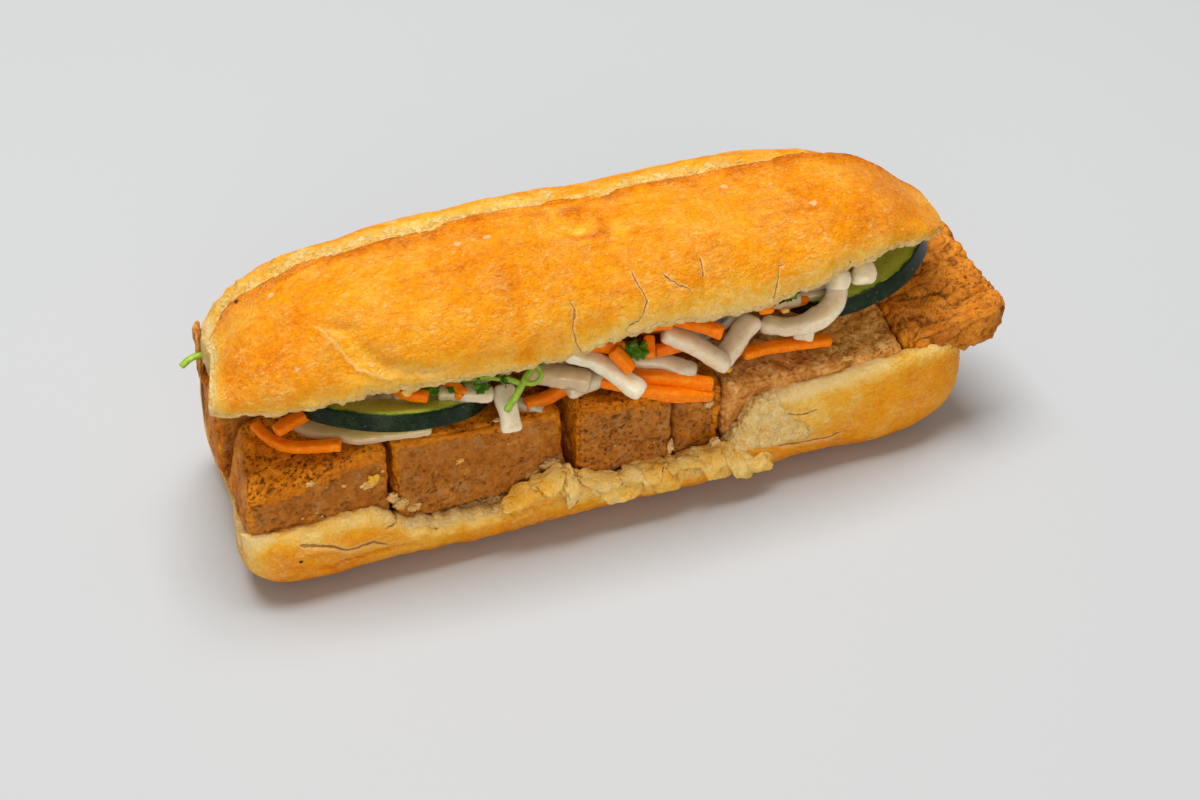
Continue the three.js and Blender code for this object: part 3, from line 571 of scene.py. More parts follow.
def make_roll():
    length = BOTTOM_RIGHT - BOTTOM_LEFT
    d = np.concatenate([[0, 0.12, 0.35, 0.7], np.arange(1.15, 20, 0.62), np.linspace(20, length - 20, 262), length - np.arange(1.15, 20, 0.62)[::-1],
                        [length - 0.7, length - 0.35, length - 0.12, length]])
    rings, meta = [], []
    for k in d:
        x = BOTTOM_LEFT + k
        sec, ez, ey, crown, roof, lip = section(x)
        y, z, part, place = sec.T
        high = np.clip((z - 22) / 24, 0, 1)
        left, right = k, length - k
        keep_b = min(round_off(left, 15, 2), round_off(right, 24, 2))
        keep_t = min(lerp(0.84, 1, round_off(left, 2.4, 2)), round_off(right, 7, 2))
        keep = lerp(lerp(END_WALL, 1, keep_b), lerp(END_WALL if right < 20 else 0, 1, keep_t), high)
        foot = np.where(part == 1, np.clip(1 - z / 16, 0, 1), 0)
        pl = lerp(lerp(0.95 - 0.15 * foot, 0.4, high), 1, round_off(left, lerp(13, 34, high), 2))
        pr = lerp(lerp(0.8 - 0.15 * foot, 0.35, high), 1, round_off(right, lerp(20, 42, high), 2))
        low = np.where(part == 3, max(-CAVITY, ey + 2.4), -CAVITY)
        sy, sz = np.clip(y, low, CAVITY), np.clip(z, FLOOR, roof)
        crust = part > 0
        py = np.where(crust, sy + (y - sy) * keep, y)
        pz = np.where(crust, sz + (z - sz) * keep, z)
        plan = pl * pr
        py = py * np.where(py < 0, lerp(plan, 1, high), plan)
        px = lerp(x, lerp(TOP_LEFT, TOP_RIGHT, k / length), high)
        px = px + 3 * (1 - high) * np.clip((y + 22) / 20, 0, 1) * max(0, 1 - left / 16)
        px = px - high * 0.30 * np.clip(-py - 1.0, 0, 17) * max(0.0, 1 - left / 24)
        rings.append(np.stack([px, py, pz], 1))
        meta.append(np.stack([part, place, y, z, np.full_like(y, ez), np.full_like(y, crown), np.full_like(y, left), np.full_like(y, right), np.full_like(y, lip)], 1))
    g = np.array(rings)
    meta = np.array(meta)
    part, place, sy, sz, ez, crown, left, right, lip = [meta[..., i] for i in range(9)]
    X, Y, Z = g[..., 0], g[..., 1], g[..., 2]
    nrm = grid_normals(g)
    centre = g.mean(1, keepdims=True)
    outer = (part > 0)
    if ((g - centre) * nrm).sum(-1)[outer].mean() < 0:
        nrm = -nrm
    # the ear: the front sheet stops in a raised wavy edge over a paler strip behind it
    yr = 1.4 + 5.0 * smooth(-52, -92, X) + 1.6 * line_noise(X.ravel(), 17, 1).reshape(X.shape) + 0.9 * line_noise(X.ravel(), 5.5, 2).reshape(X.shape)
    yr += 2.2 * np.exp(-(((X + 9) / 5) ** 2)) - 2.0 * np.exp(-(((X - 1) / 3.5) ** 2)) - 1.5 * np.exp(-(((X + 42) / 4) ** 2))
    is_top = (part == 3)
    fade = smooth(0, 7, left) * smooth(0, 16, right)
    behind = Y - yr
    drop = 1.5 * smooth(0.0, 1.1, behind) * (1 - 0.75 * smooth(3.5, 13, behind))
    ear = 0.75 * np.exp(-((np.minimum(behind, 0) / 1.8) ** 2)) * (behind < 0.35)
    g[..., 2] += np.where(is_top, fade * (ear - drop), 0)
    g[..., 1] += np.where(is_top & (behind < 0.2) & (behind > -1.6), fade * 0.7 * smooth(-1.6, 0.1, behind), 0)
    # unevenness of the baked surface
    p = g.reshape(-1, 3)
    wob = (0.75 * fbm(p / 26.0, 2) + 0.34 * fbm(p / 8.5 + 40, 2) + 0.10 * fbm(p / np.array([3.4, 2.0, 2.0]) + 80, 2)).reshape(X.shape)
    foot_flat = smooth(0.0, 3.0, Z)
    amount = np.where(outer, foot_flat, 0.0) * (0.4 + 0.6 * fade)
    disp = wob * amount
    # bubble, dimple and folds pressed into the top crust
    def spot(cx, cy, cz, rx, r, depth):
        q = ((X - cx) / rx) ** 2 + ((Y - cy) / r) ** 2 + ((Z - cz) / r) ** 2
        return depth * np.exp(-q)
    disp += np.where(is_top, spot(-8.6, -3.6, 76, 4.6, 2.6, 1.5) + spot(-9.3, -9.0, 75.4, 2.6, 2.0, -1.3) + spot(-7.6, -14.2, 74.2, 5.0, 1.7, 0.9) + spot(-3.9, -10.5, 74.8, 1.8, 3.0, 0.8) + spot(-13.6, -5.5, 76.2, 1.6, 4.0, 0.6), 0)
    disp += np.where(is_top, spot(-72.5, -23.5, 62.5, 5.5, 5.0, -1.5) + spot(-76.5, -21, 65, 1.8, 5.5, 0.9) + spot(-67.5, -26.5, 57.2, 4.5, 1.6, 0.8), 0)
    disp += np.where(is_top, spot(16, -27.5, 57.5, 12, 3.0, 0.9) + spot(-30, -27, 60, 16, 5, 0.5) + spot(40, -24, 66, 14, 6, -0.5), 0)
    # creases that run up from the front edge
    creases = [(-17.5, 53.5, 66.5, 0.9), (0.4, 56.0, 71.5, 1.1), (7.2, 62.0, 69.5, 0.8), (16.6, 62.0, 72.5, 0.8), (37.0, 54.0, 64.5, 0.9), (24.5, 54, 61, 0.7), (52, 57, 63, 0.6), (-46, 52, 57, 0.6)]
    groove = np.zeros_like(X)
    for cx, z0, z1, w in creases:
        wav = cx + 1.3 * line_noise(Z.ravel(), 5.0, cx).reshape(X.shape) + 0.5 * line_noise(Z.ravel(), 1.7, cx + 3).reshape(X.shape)
        groove += np.exp(-(((X - wav) / w) ** 2)) * smooth(z0 - 2, z0 + 1, Z) * smooth(z1 + 1.5, z1 - 3, Z)
    groove *= is_top & (Y < 0)
    disp -= 0.35 * groove
    # crack along the bottom leaf's shoulder
    wav = 9.6 + 1.2 * line_noise(X.ravel(), 6.0, 31).reshape(X.shape) + 0.6 * line_noise(X.ravel(), 1.8, 33).reshape(X.shape)
    crack = np.exp(-(((Z - wav) / 0.55) ** 2)) * smooth(-88, -83, X) * smooth(-58, -64, X) * (Y < 0) * (part == 1)
    disp -= 0.9 * crack
    # torn crumb is rough
    rough_zone = (part == 1) * smooth(0.3, 0.9, place)
    rough_patch = (part == 1) * (Y < 0) * smooth(22, 26, X) * smooth(46, 36, X + 0.9 * (Z - 20)) * smooth(11, 15, Z)
    disp += (rough_zone * 0.4 + rough_patch * 0.9) * fbm(p / 2.2 + 11, 3).reshape(X.shape)
    strip_rough = is_top * smooth(0.4, 1.4, behind) * (1 - smooth(10, 17, behind)) * fade
    disp += strip_rough * (0.75 * fbm(p / np.array([4.0, 1.8, 1.8]) + 61, 3).reshape(X.shape) + 0.9 * fbm(p / np.array([16.0, 3.0, 3.0]) + 71, 2).reshape(X.shape))
    disp += (part == 3) * smooth(0.3, 1.0, place) * 0.3 * fbm(p / 1.6 + 5, 2).reshape(X.shape)
    disp = np.where(part == 0, 0.25 * fbm(p / 2.4 + 3, 2).reshape(X.shape) - 0.15, disp)
    g = g + nrm * disp[..., None]
    g[..., 2] = np.maximum(g[..., 2], 0.0)
    X, Y, Z = g[..., 0], g[..., 1], g[..., 2]
    # how far each place is baked, 0 pale to 1 dark; some marks below also carry painted light and shade
    f = np.clip((sz - ez) / (crown - ez + 1e-6), 0, 1)
    top_bake = lerp(0.30, 0.08, smooth(-30, 20, X)) + lerp(0.34, 0.50, smooth(-30, 20, X)) * smooth(0.02, lerp(0.46, 0.62, smooth(-20, 5, X)), f) + 0.08 * smooth(0.55, 0.95, f)
    top_bake += 0.24 * np.exp(-((np.minimum(behind, 0) / 2.2) ** 2)) * (behind < 0.6) + 0.08 * smooth(-10, 40, X)
    top_bake -= 0.24 * smooth(-62, -35, X) * smooth(20, -10, X) * smooth(0.22, 0.0, f)
    top_bake -= 0.22 * smooth(10, 30, X) * smooth(0.22, 0.02, f)
    strip = smooth(0.1, 0.7, behind) * (1 - smooth(6, 15, behind))
    top_bake = lerp(top_bake, 0.30 + 0.10 * smooth(-60, 60, X), strip)
    top_bake = lerp(top_bake, 0.60, smooth(9, 20, behind))
    top_bake -= 0.5 * (1 - smooth(0.3, 5, left)) + 0.25 * (1 - smooth(0, 7, right))
    bot = 0.62 + 0.24 * smooth(9, 1, sz) - 0.42 * smooth(lip - 5, lip - 0.5, sz) * (Y < 0)
    bot -= 0.35 * (1 - smooth(0.5, 9, left)) + 0.15 * (1 - smooth(0, 8, right))
    bot -= 0.30 * smooth(24, 30, X) * smooth(72, 45, X) * smooth(8, 20, sz) * (Y < 0)
    bake = np.where(is_top, top_bake, np.where(part == 1, bot, 0.58))
    warp = 1 + 0.5 * line_noise((X - Y).ravel(), 3.0, 77).reshape(X.shape)

    # colour patches round the bubble and dimple: partly browner and paler baking, partly painted shade and painted
    # light standing in for the relief that the soft lamps hardly show
    def stain(cx, cy, rx, ry, depth):
        return depth * np.exp(-(((X - cx) / rx) ** 2 + ((Y - cy) / ry) ** 2) * warp**2)
    marks = stain(-8.8, -8.8, 3.0, 2.2, -0.34) + stain(-8.0, -12.6, 4.4, 1.5, 0.30) + stain(-9.0, -3.2, 3.4, 1.6, 0.22) + stain(-13.2, -2.0, 1.2, 3.4, -0.22)
    marks += stain(-3.2, -8.4, 1.4, 3.2, 0.24) + stain(-17.0, -1.6, 3.6, 1.6, 0.22) + stain(0.5, -12.5, 2.5, 2.0, -0.20)
    bake = bake + 0.30 * crack + np.where(is_top & (behind < -0.2), marks, 0)
    crumb = np.where(part == 0, 1.0, 0.0)
    crumb = np.maximum(crumb, np.where(part == 1, 0.62 * smooth(0.7, 1.0, place) * (0.4 + 0.6 * smooth(-64, -60, X) * smooth(40, 30, X)), 0))
    crumb = np.maximum(crumb, 0.95 * rough_patch)
    crumb = np.maximum(crumb, np.where(is_top, 0.55 * smooth(0.6, 1.0, place), 0))
    crumb = np.maximum(crumb, np.where(is_top, 0.42 * np.exp(-(((X - 14) / 16) ** 2)) * smooth(0.28, 0.02, f) * (Y < 0), 0))
    crumb = np.maximum(crumb, np.where(is_top, 0.6 * smooth(4, 0.3, left), 0))
    crumb = np.maximum(crumb, 0.50 * strip * is_top * fade)
    crumb = np.maximum(crumb, 0.50 * is_top * (Y < 0) * smooth(-10, 12, X) * smooth(0.20, 0.04, f))
    n, mcount = X.shape
    quads = grid_quads(n, mcount)
    # signed distance to the thin cracks, in the plane of x and the way up from the front edge
    arc = np.zeros_like(X)
    edge_i = int(np.where(part[n // 2] == 3)[0].max())
    for j in range(edge_i - 1, edge_i - 135, -1):
        arc[:, j] = arc[:, j + 1] + np.linalg.norm(g[:, j] - g[:, j + 1], axis=1)
    front = np.zeros_like(X, bool)
    front[:, edge_i - 124 : edge_i + 1] = True
    flat = np.stack([X[front], Y[front], Z[front]], 1)

    def on_sheet(points):
        out = []
        for q in points:
            k = int(np.argmin(np.linalg.norm(flat - np.array(q), axis=1)))
            out.append((flat[k, 0], arc[front][k]))
        return np.array(sorted(out, key=lambda r: r[1]))

    def signed(line):
        way = np.interp(arc, line[:, 1], line[:, 0])
        slope = np.interp(arc, (line[1:, 1] + line[:-1, 1]) / 2, np.diff(line[:, 0]) / np.maximum(np.diff(line[:, 1]), 0.3))
        mask = smooth(line[0, 1] - 0.8, line[0, 1] + 0.8, arc) * smooth(line[-1, 1] + 0.8, line[-1, 1] - 2.0, arc)
        return (X - way) / np.sqrt(1 + slope**2), mask

    cracks = [
        ([(-17.2, -25.4, 67), (-16.8, -27.2, 65.3), (-17.6, -29.3, 61.1), (-17.4, -30.0, 57.1), (-16.2, -29.8, 54.5)], 0.19),
        ([(-1.2, -22.5, 70.2), (-0.6, -25.5, 67.9), (1.4, -28.4, 64.3), (0.2, -29.5, 61.9), (-4.4, -30.1, 58.3)], 0.20),
        ([(12.4, -28.1, 64.3), (7.4, -26.3, 67.3), (6.6, -24.3, 69.1)], 0.20),
        ([(16.9, -22.6, 69.8), (16.9, -25.1, 67.6), (16.2, -26.9, 66)], 0.22),
        ([(34.2, -29.1, 57.6), (34.9, -29.0, 59.1), (36.3, -27.7, 63.2), (38.2, -26.6, 65.2)], 0.24),
    ]
    crack_at, crack_wide = np.full_like(X, 9.0), np.zeros_like(X)
    for k, (line, w) in enumerate(cracks):
        sd, mask = signed(on_sheet(line))
        near = np.abs(sd) < np.abs(crack_at)
        crack_at = np.where(near, sd * (-1) ** k, crack_at)
        crack_wide = np.where(near, mask * w, crack_wide)
    crack_at = np.where(front, crack_at, 9.0)
    crack_wide = np.where(front, crack_wide, 0.0)
    low_front = (part == 1) & (Y < -18)
    for pts, w in BOTTOM_CRACKS:
        pts = np.array(pts)
        off_line = Z - np.interp(X, pts[:, 0], pts[:, 1])
        inside_line = smooth(pts[0, 0] - 0.5, pts[0, 0] + 1.5, X) * smooth(pts[-1, 0] + 0.5, pts[-1, 0] - 1.5, X)
        near = low_front & (np.abs(off_line) < np.minimum(np.abs(crack_at), 2.5)) & (inside_line > 0)
        crack_at = np.where(near, off_line, crack_at)
        crack_wide = np.where(near, inside_line * w, crack_wide)
    scar_at, scar_mask = signed(on_sheet([(-78, -15.7, 68.6), (-75.5, -18.5, 67.6), (-73.3, -21.4, 66), (-71.1, -24.5, 62.7), (-69.7, -25.8, 60.3), (-65.9, -26.6, 59), (-62.5, -27.1, 57.5)]))
    scar_at = np.where(front, scar_at, 9.0)
    scar_wide = np.where(front, 0.55 * scar_mask, 0.0)
    ridge = np.exp(-((scar_at / 0.9) ** 2)) * (scar_wide > 0) * scar_mask
    leaf = np.exp(-(((scar_at - 3.6) / 2.6) ** 2)) * scar_mask
    cut = np.exp(-((crack_at / 0.55) ** 2)) * np.clip(crack_wide * 2, 0, 1)
    g = g + nrm * (0.5 * ridge - 1.35 * leaf * front - 0.55 * cut)[..., None]
    bake = bake - 0.18 * leaf * front
    tris = []
    outer_ids = [j for j in range(mcount) if part[0, j] > 0]
    inner_ids = [j for j in range(mcount) if part[0, j] == 0][::-1]
    for ring, flip in ((0, False), (n - 1, True)):
        A, B = outer_ids, inner_ids
        i = j = 0
        while i < len(A) - 1 or j < len(B) - 1:
            da = np.linalg.norm(g[ring, A[i + 1]] - g[ring, B[j]]) if i < len(A) - 1 else 1e9
            db = np.linalg.norm(g[ring, A[i]] - g[ring, B[j + 1]]) if j < len(B) - 1 else 1e9
            if da < db:
                t = [A[i], A[i + 1], B[j]]
                i += 1
            else:
                t = [A[i], B[j + 1], B[j]]
                j += 1
            t = [ring * mcount + v for v in t]
            tris.append(t[::-1] if flip else t)
    ob = mesh_object("hinged_roll", g.reshape(-1, 3), quads, tris,
                     {"bake": bake.ravel(), "crumb": crumb.ravel(), "crack_at": crack_at.ravel(), "crack_wide": crack_wide.ravel(),
                      "scar_at": scar_at.ravel(), "scar_wide": scar_wide.ravel()})
    bm = bmesh.new()
    bm.from_mesh(ob.data)
    bmesh.ops.recalc_face_normals(bm, faces=bm.faces)
    bm.to_mesh(ob.data)
    bm.free()
    return ob


dress(make_roll(), "crust", "crust", "bread")


FLAP_TOP = profile([[-36, 14], [-33, 17.5], [-26, 19.6], [-20, 19.8], [-16.5, 18.2], [-12, 15.6], [0, 15.2], [8, 15.0], [16, 15.4], [22.6, 14.8], [27, 12], [30, 9.5]])
FLAP_LOW = profile([[-36, 12], [-33, 11], [-26, 9], [-20, 8], [-12, 7], [0, 6.2], [8, 6.2], [16, 6.2], [23, 5.6], [27, 6.2], [30, 8]])


def flap_shape(x):
    """centre and half sizes of the rolled lip's section: y, z, reach outwards, half height"""
    top, low = FLAP_TOP(x), FLAP_LOW(x)
    return (-30.6 - 0.4 * line_noise(x, 9, 53), (top + low) / 2, 3.1 + 0.8 * line_noise(x, 7, 51) + 0.5 * line_noise(x, 3, 52), (top - low) / 2 * 0.86)


def torn_flap():
    """crust torn from the bottom leaf's lip and rolled outwards"""
    n, m = 190, 56
    u = np.linspace(0, 1, n)
    x = lerp(-36.0, 30.5, u)
    fat = np.maximum(np.sin(np.clip(u, 0, 1) * math.pi), 1e-3) ** 0.35
    a = np.linspace(0, 2 * math.pi, m, endpoint=False)
    yc, zc, reach, rz = flap_shape(x)
    g = np.stack([np.broadcast_to(x[:, None], (n, m)), yc[:, None] - (fat * reach)[:, None] * np.cos(a), zc[:, None] + (fat * rz)[:, None] * np.sin(a)], -1)
    nrm = grid_normals(g)
    if ((g - g.mean(1, keepdims=True)) * nrm).sum() < 0:
        nrm = -nrm
    p = g.reshape(-1, 3)
    fold = np.abs(fbm(p / np.array([5.5, 5.0, 5.0]) + 7, 2))
    fold2 = np.abs(fbm(p / np.array([3.0, 3.0, 3.0]) + 27, 2))
    d = 0.7 * fbm(p / 6.5 + 20, 2) + 2.3 * (np.minimum(fold, 0.42) - 0.22) + 0.8 * (np.minimum(fold2, 0.35) - 0.2) + 0.12 * fbm(p / 1.4 + 9, 2)
    g = g + nrm * (d.reshape(n, m) * fat[:, None])[..., None]
    low_part = smooth(0.15, -0.75, np.sin(a))[None, :] * np.ones((n, 1))
    # the fold term is painted shade in the hollows of the crumpled folds; the low_part term makes the underside darker
    bake = 0.20 + 0.12 * smooth(0.12, 0.0, fold).reshape(n, m) + 0.22 * low_part
    crumb = 0.10 - 0.10 * low_part + 0.0 * g[..., 0]
    tris = [[0 * m, j, (j + 1) % m] for j in range(1, m - 1)] + [[(n - 1) * m, (n - 1) * m + j + 1, (n - 1) * m + j] for j in range(1, m - 1)]
    ob = mesh_object("torn_crust", g.reshape(-1, 3), grid_quads(n, m), tris, {"bake": bake.ravel(), "crumb": crumb.ravel()})
    tidy(ob)
    return ob


def tidy(ob):
    bm = bmesh.new()
    bm.from_mesh(ob.data)
    bmesh.ops.recalc_face_normals(bm, faces=bm.faces)
    bm.to_mesh(ob.data)
    bm.free()


dress(torn_flap(), "crust", "crust")


def sheet(pool, g, thick, attrs):
    """a thin closed shell about the grid of points g[n, m, 3]"""
    n, m = g.shape[:2]
    nrm = grid_normals(g, wrap=False)
    u, v = np.linspace(0, 1, n)[:, None], np.linspace(0, 1, m)[None, :]
    rim = np.minimum(np.minimum(u, 1 - u) * n, np.minimum(v, 1 - v) * m)
    half = thick * 0.5 * (0.35 + 0.65 * smooth(0, 2.0, rim))[..., None]
    verts = np.vstack([(g + nrm * half).reshape(-1, 3), (g - nrm * half).reshape(-1, 3)])
    top = grid_quads(n, m, wrap_m=False)
    ring = [i * m for i in range(n)] + [(n - 1) * m + j for j in range(1, m)] + [i * m + m - 1 for i in range(n - 2, -1, -1)] + [j for j in range(m - 2, 0, -1)]
    side = [[a, b, b + n * m, a + n * m] for a, b in zip(ring, ring[1:] + ring[:1])]
    pool.add(verts, np.vstack([top, top[:, ::-1] + n * m, side]), (), attrs)


def curls():
    """wide rags of crust and crumb folded over the torn lip"""
    r = np.random.RandomState(21)
    pool = Pool()
    spots = [(-38.5, -27.5, 1.9, 0.1, 0.7, 0.22), (-30.5, -21.5, 2.2, 0.5, 1.3, 0.10), (-24.5, -15.5, 2.1, -0.2, 0.6, 0.20), (-22.6, -19.4, 2.3, -0.3, 2.1, 0.02),
             (-17.5, -6.5, 1.95, 0.35, 0.8, 0.14), (-13.5, -2.0, 1.3, -0.5, 0.5, 0.24), (-7.0, 5.5, 2.1, 0.45, 1.2, 0.16), (0.5, 10.5, 1.35, -0.4, 0.6, 0.26),
             (5.0, 14.0, 2.15, 0.5, 0.9, 0.14), (12.0, 23.5, 2.0, 0.1, 1.3, 0.12), (15.0, 27.5, 1.2, -0.6, 0.7, 0.22), (20.5, 32.5, 1.9, -0.1, 1.7, 0.10), (24.5, 34.0, 1.0, -0.8, 1.1, 0.18)]
    for k, (x0, x1, a0, a1, lift, bake) in enumerate(spots):
        n, m = max(14, int((x1 - x0) / 0.42)), 30
        u = np.linspace(0, 1, n)[:, None]
        v = np.linspace(0, 1, m)[None, :]
        x = lerp(x0, x1, u) + 1.1 * line_noise((v * 14).ravel(), 3.2, k + 80)[None, :] * np.abs(2 * u - 1) ** 2
        x = x + 0 * v
        flat = x.ravel()
        wave = lambda wl, sd: line_noise(flat, wl, sd).reshape(n, m)
        end = np.sqrt(np.clip(1 - np.abs(2 * u - 1) ** 3.0, 0.02, 1))
        mid = (a0 + a1) / 2
        hi = mid + (a0 - mid + 0.22 * wave(4.0, k) + 0.12 * wave(1.4, k + 7)) * end
        lo = mid + (a1 - mid + 0.30 * wave(4.6, k + 20) + 0.14 * wave(1.5, k + 27)) * end
        ang = lerp(hi, lo, v)
        yc, zc, reach, rz = [q.reshape(n, m) for q in flap_shape(np.clip(flat, -35.5, 29.0))]
        off = 0.5 + lift * smooth(0.45, 1.0, v) + 0.5 * lift * smooth(0.25, 0.0, v)
        g = np.stack([x, yc - (reach + off) * np.cos(ang), zc + (rz + off) * np.sin(ang) + 0 * v], -1)
        q = g.reshape(-1, 3)
        push = np.stack([fbm(q / 5.0 + k * 3, 2), fbm(q / 5.0 + 30 + k * 3, 2), fbm(q / 5.0 + 60 + k * 3, 2)], -1) * np.array([0.8, 1.3, 1.0])
        push += np.stack([fbm(q / 1.9 + k, 1), fbm(q / 1.9 + 31 + k, 1), fbm(q / 1.9 + 61 + k, 1)], -1) * 0.22
        g = g + push.reshape(n, m, 3)
        g[..., 1] = np.clip(g[..., 1], -36.8, -24.5)
        sheet(pool, g, 1.1, {"bake": bake + 0.05, "crumb": r.uniform(0.0, 0.18)})
    for k, x in enumerate([36, -58]):
        n, m = 18, 12
        u = np.linspace(-0.5, 0.5, n)[:, None]
        t = np.linspace(0, 1, m)[None, :]
        length, width, bend = r.uniform(3.5, 5), r.uniform(2.0, 2.8), r.uniform(0.5, 1.3)
        taper = np.sqrt(np.clip(1 - (2 * u) ** 2 * 0.85, 0.03, 1))
        ez, ey = float(edge_height(x)), float(edge_reach(x))
        gx = x + u * length + 0 * t
        gz = ez + 2.0 - taper * width * np.sin(bend * t) / bend
        gy = ey - 0.9 + taper * width * (1 - np.cos(bend * t)) / bend * 0.8 + 0.5 * np.sin(u * 5 + k)
        g = np.stack([gx, gy + 0 * t, gz], -1)
        q = g.reshape(-1, 3)
        g = g + (np.stack([fbm(q / 2.4 + k, 2), fbm(q / 2.4 + 30 + k, 2), fbm(q / 2.4 + 60 + k, 2)], -1) * 0.6).reshape(n, m, 3)
        sheet(pool, g, 0.7, {"bake": r.uniform(0.1, 0.2), "crumb": r.uniform(0.1, 0.35)})
    return pool.make("torn_rags")


rags = curls()
tidy(rags)
dress(rags, "crust", "crust")


# ---------------------------------------------------------------- tofu slabs
def slab(name, node, bottom, top, bow=0.0, radius=1.5, fine=0.55, front=10.0, pores=1.0, wrinkle=0.0, skin=(1, 0, 0), tone=0.0, seed=0, front_pores=0.18, split=None):
    """skin = how brown the top, the front and the ends are"""
    bottom, top = np.array(bottom, float), np.array(top, float)
    size = [np.linalg.norm(bottom[0] - bottom[1]), np.linalg.norm(bottom[0] - bottom[3]), np.linalg.norm(bottom[0] - top[0])]

    def marks(length, dense_to, step, coarse):
        a = list(np.arange(0, min(dense_to, length), step))
        if length > dense_to:
            k = max(1, int((length - dense_to) / coarse))
            a += list(np.linspace(dense_to, length, k + 1))
        else:
            a.append(length)
        return np.array(sorted(set(np.round(a, 4)))) / length

    lines = [marks(size[0], 1e9, fine, 2), marks(size[1], front, fine, 1.6), marks(size[2], 1e9, fine, 2)]
    index, verts = {}, []
    quads = []
    nx, ny, nz = [len(l) for l in lines]

    def vid(i, j, k):
        key = (i, j, k)
        if key not in index:
            index[key] = len(verts)
            verts.append(key)
        return index[key]

    for i in range(nx - 1):
        for j in range(ny - 1):
            quads.append([vid(i, j, nz - 1), vid(i + 1, j, nz - 1), vid(i + 1, j + 1, nz - 1), vid(i, j + 1, nz - 1)])
            quads.append([vid(i, j, 0), vid(i, j + 1, 0), vid(i + 1, j + 1, 0), vid(i + 1, j, 0)])
    for i in range(nx - 1):
        for k in range(nz - 1):
            quads.append([vid(i, 0, k), vid(i + 1, 0, k), vid(i + 1, 0, k + 1), vid(i, 0, k + 1)])
            quads.append([vid(i, ny - 1, k), vid(i, ny - 1, k + 1), vid(i + 1, ny - 1, k + 1), vid(i + 1, ny - 1, k)])
    for j in range(ny - 1):
        for k in range(nz - 1):
            quads.append([vid(0, j, k), vid(0, j, k + 1), vid(0, j + 1, k + 1), vid(0, j + 1, k)])
            quads.append([vid(nx - 1, j, k), vid(nx - 1, j + 1, k), vid(nx - 1, j + 1, k + 1), vid(nx - 1, j, k + 1)])
    key = np.array(verts)
    mm = np.stack([lines[a][key[:, a]] * size[a] for a in range(3)], 1)
    sz = np.array(size)
    core = np.clip(mm, radius, sz - radius)
    away = mm - core
    reach = np.linalg.norm(away, axis=1, keepdims=True)
    reach[reach < 1e-9] = 1
    out_dir = away / reach
    rounded = core + out_dir * radius

    def place(q):
        u, v, w = (q / sz).T
        u, v, w = u[:, None], v[:, None], w[:, None]
        lowp = (bottom[0] * (1 - u) + bottom[1] * u) * (1 - v) + (bottom[3] * (1 - u) + bottom[2] * u) * v
        high = (top[0] * (1 - u) + top[1] * u) * (1 - v) + (top[3] * (1 - u) + top[2] * u) * v
        r = lowp * (1 - w) + high * w
        r[:, 2] += (bow * w * 4 * u * (1 - u))[:, 0]
        return r

    base = place(rounded)
    ahead = place(rounded + out_dir * 0.5) - base
    nrm = ahead / (np.linalg.norm(ahead, axis=1, keepdims=True) + 1e-9)
    p = base + seed * 31.7
    is_top = smooth(0.55, 0.85, out_dir[:, 2])
    is_front = smooth(0.55, 0.85, -out_dir[:, 1])
    d = 0.55 * fbm(p / 13.0, 2) + 0.44 * fbm(p / 4.6 + 9, 2) + 0.22 * fbm(p / 1.9 + 4, 2) + 0.05 * fbm(p / 0.95 + 14, 1)
    # knocked edges
    edge = 1 - np.max(np.abs(out_dir), axis=1)
    d -= edge * (1.0 + 2.2 * np.maximum(0, fbm(p / 3.6 + 60, 2)))
    w1, r1 = worley(p / 2.3)
    w2, r2 = worley(p / 1.25 + 50)
    zone = smooth(-0.25, 0.35, fbm(p / 9.0 + 70, 2))
    # pit marks pores and slits; it sinks the surface and the material paints shade into these hollows
    pit = smooth(0.34, 0.16, w1) * (r1 > 0.42) * zone + 0.8 * smooth(0.36, 0.15, w2) * (r2 > 0.35) * zone
    cut = np.abs(fbm(p / np.array([9.0, 6.0, 4.2]) + 90, 3))
    slit = smooth(0.045, 0.0, cut) * smooth(0.1, 0.5, fbm(p / 16.0 + 5, 1) + 0.3)
    flat_cut = np.abs(fbm(p / np.array([14.0, 8.0, 3.6]) + 190, 3))
    slit = np.maximum(slit, smooth(0.045, 0.0, flat_cut) * smooth(sz[2] * 0.8, sz[2] * 0.3, mm[:, 2]) * is_front)
    pit = np.clip(pores * (0.8 * is_top + 0.42 * (1 - is_top)) * pit + 0.85 * slit * min(1, pores + 0.4), 0, 1)
    d -= 0.85 * pit
    d += is_front * (0.5 * fbm(p / np.array([10.0, 8.0, 4.0]) + 120, 2))
    if split is not None:
        gap = np.abs(base[:, 0] - split - 0.8 * line_noise(base[:, 2], 6.0, seed))
        d -= 2.6 * smooth(0.9, 0.2, gap) * is_front + 2.2 * smooth(0.9, 0.2, gap) * is_top * smooth(-16, -24, base[:, 1])
        # the split gap joins pit, so it gets painted shade as a dark gap
        pit = np.maximum(pit, smooth(0.75, 0.25, gap) * np.clip(is_front + is_top * smooth(-16, -24, base[:, 1]), 0, 1))
        d -= 1.3 * smooth(0, 1.0, base[:, 0] - split) * is_front
    if wrinkle:
        ridge = np.abs(fbm(p / np.array([8.5, 6.0, 6.5]) + 33, 2))
        d += wrinkle * (0.9 * smooth(0.0, 0.35, ridge) - 0.6)
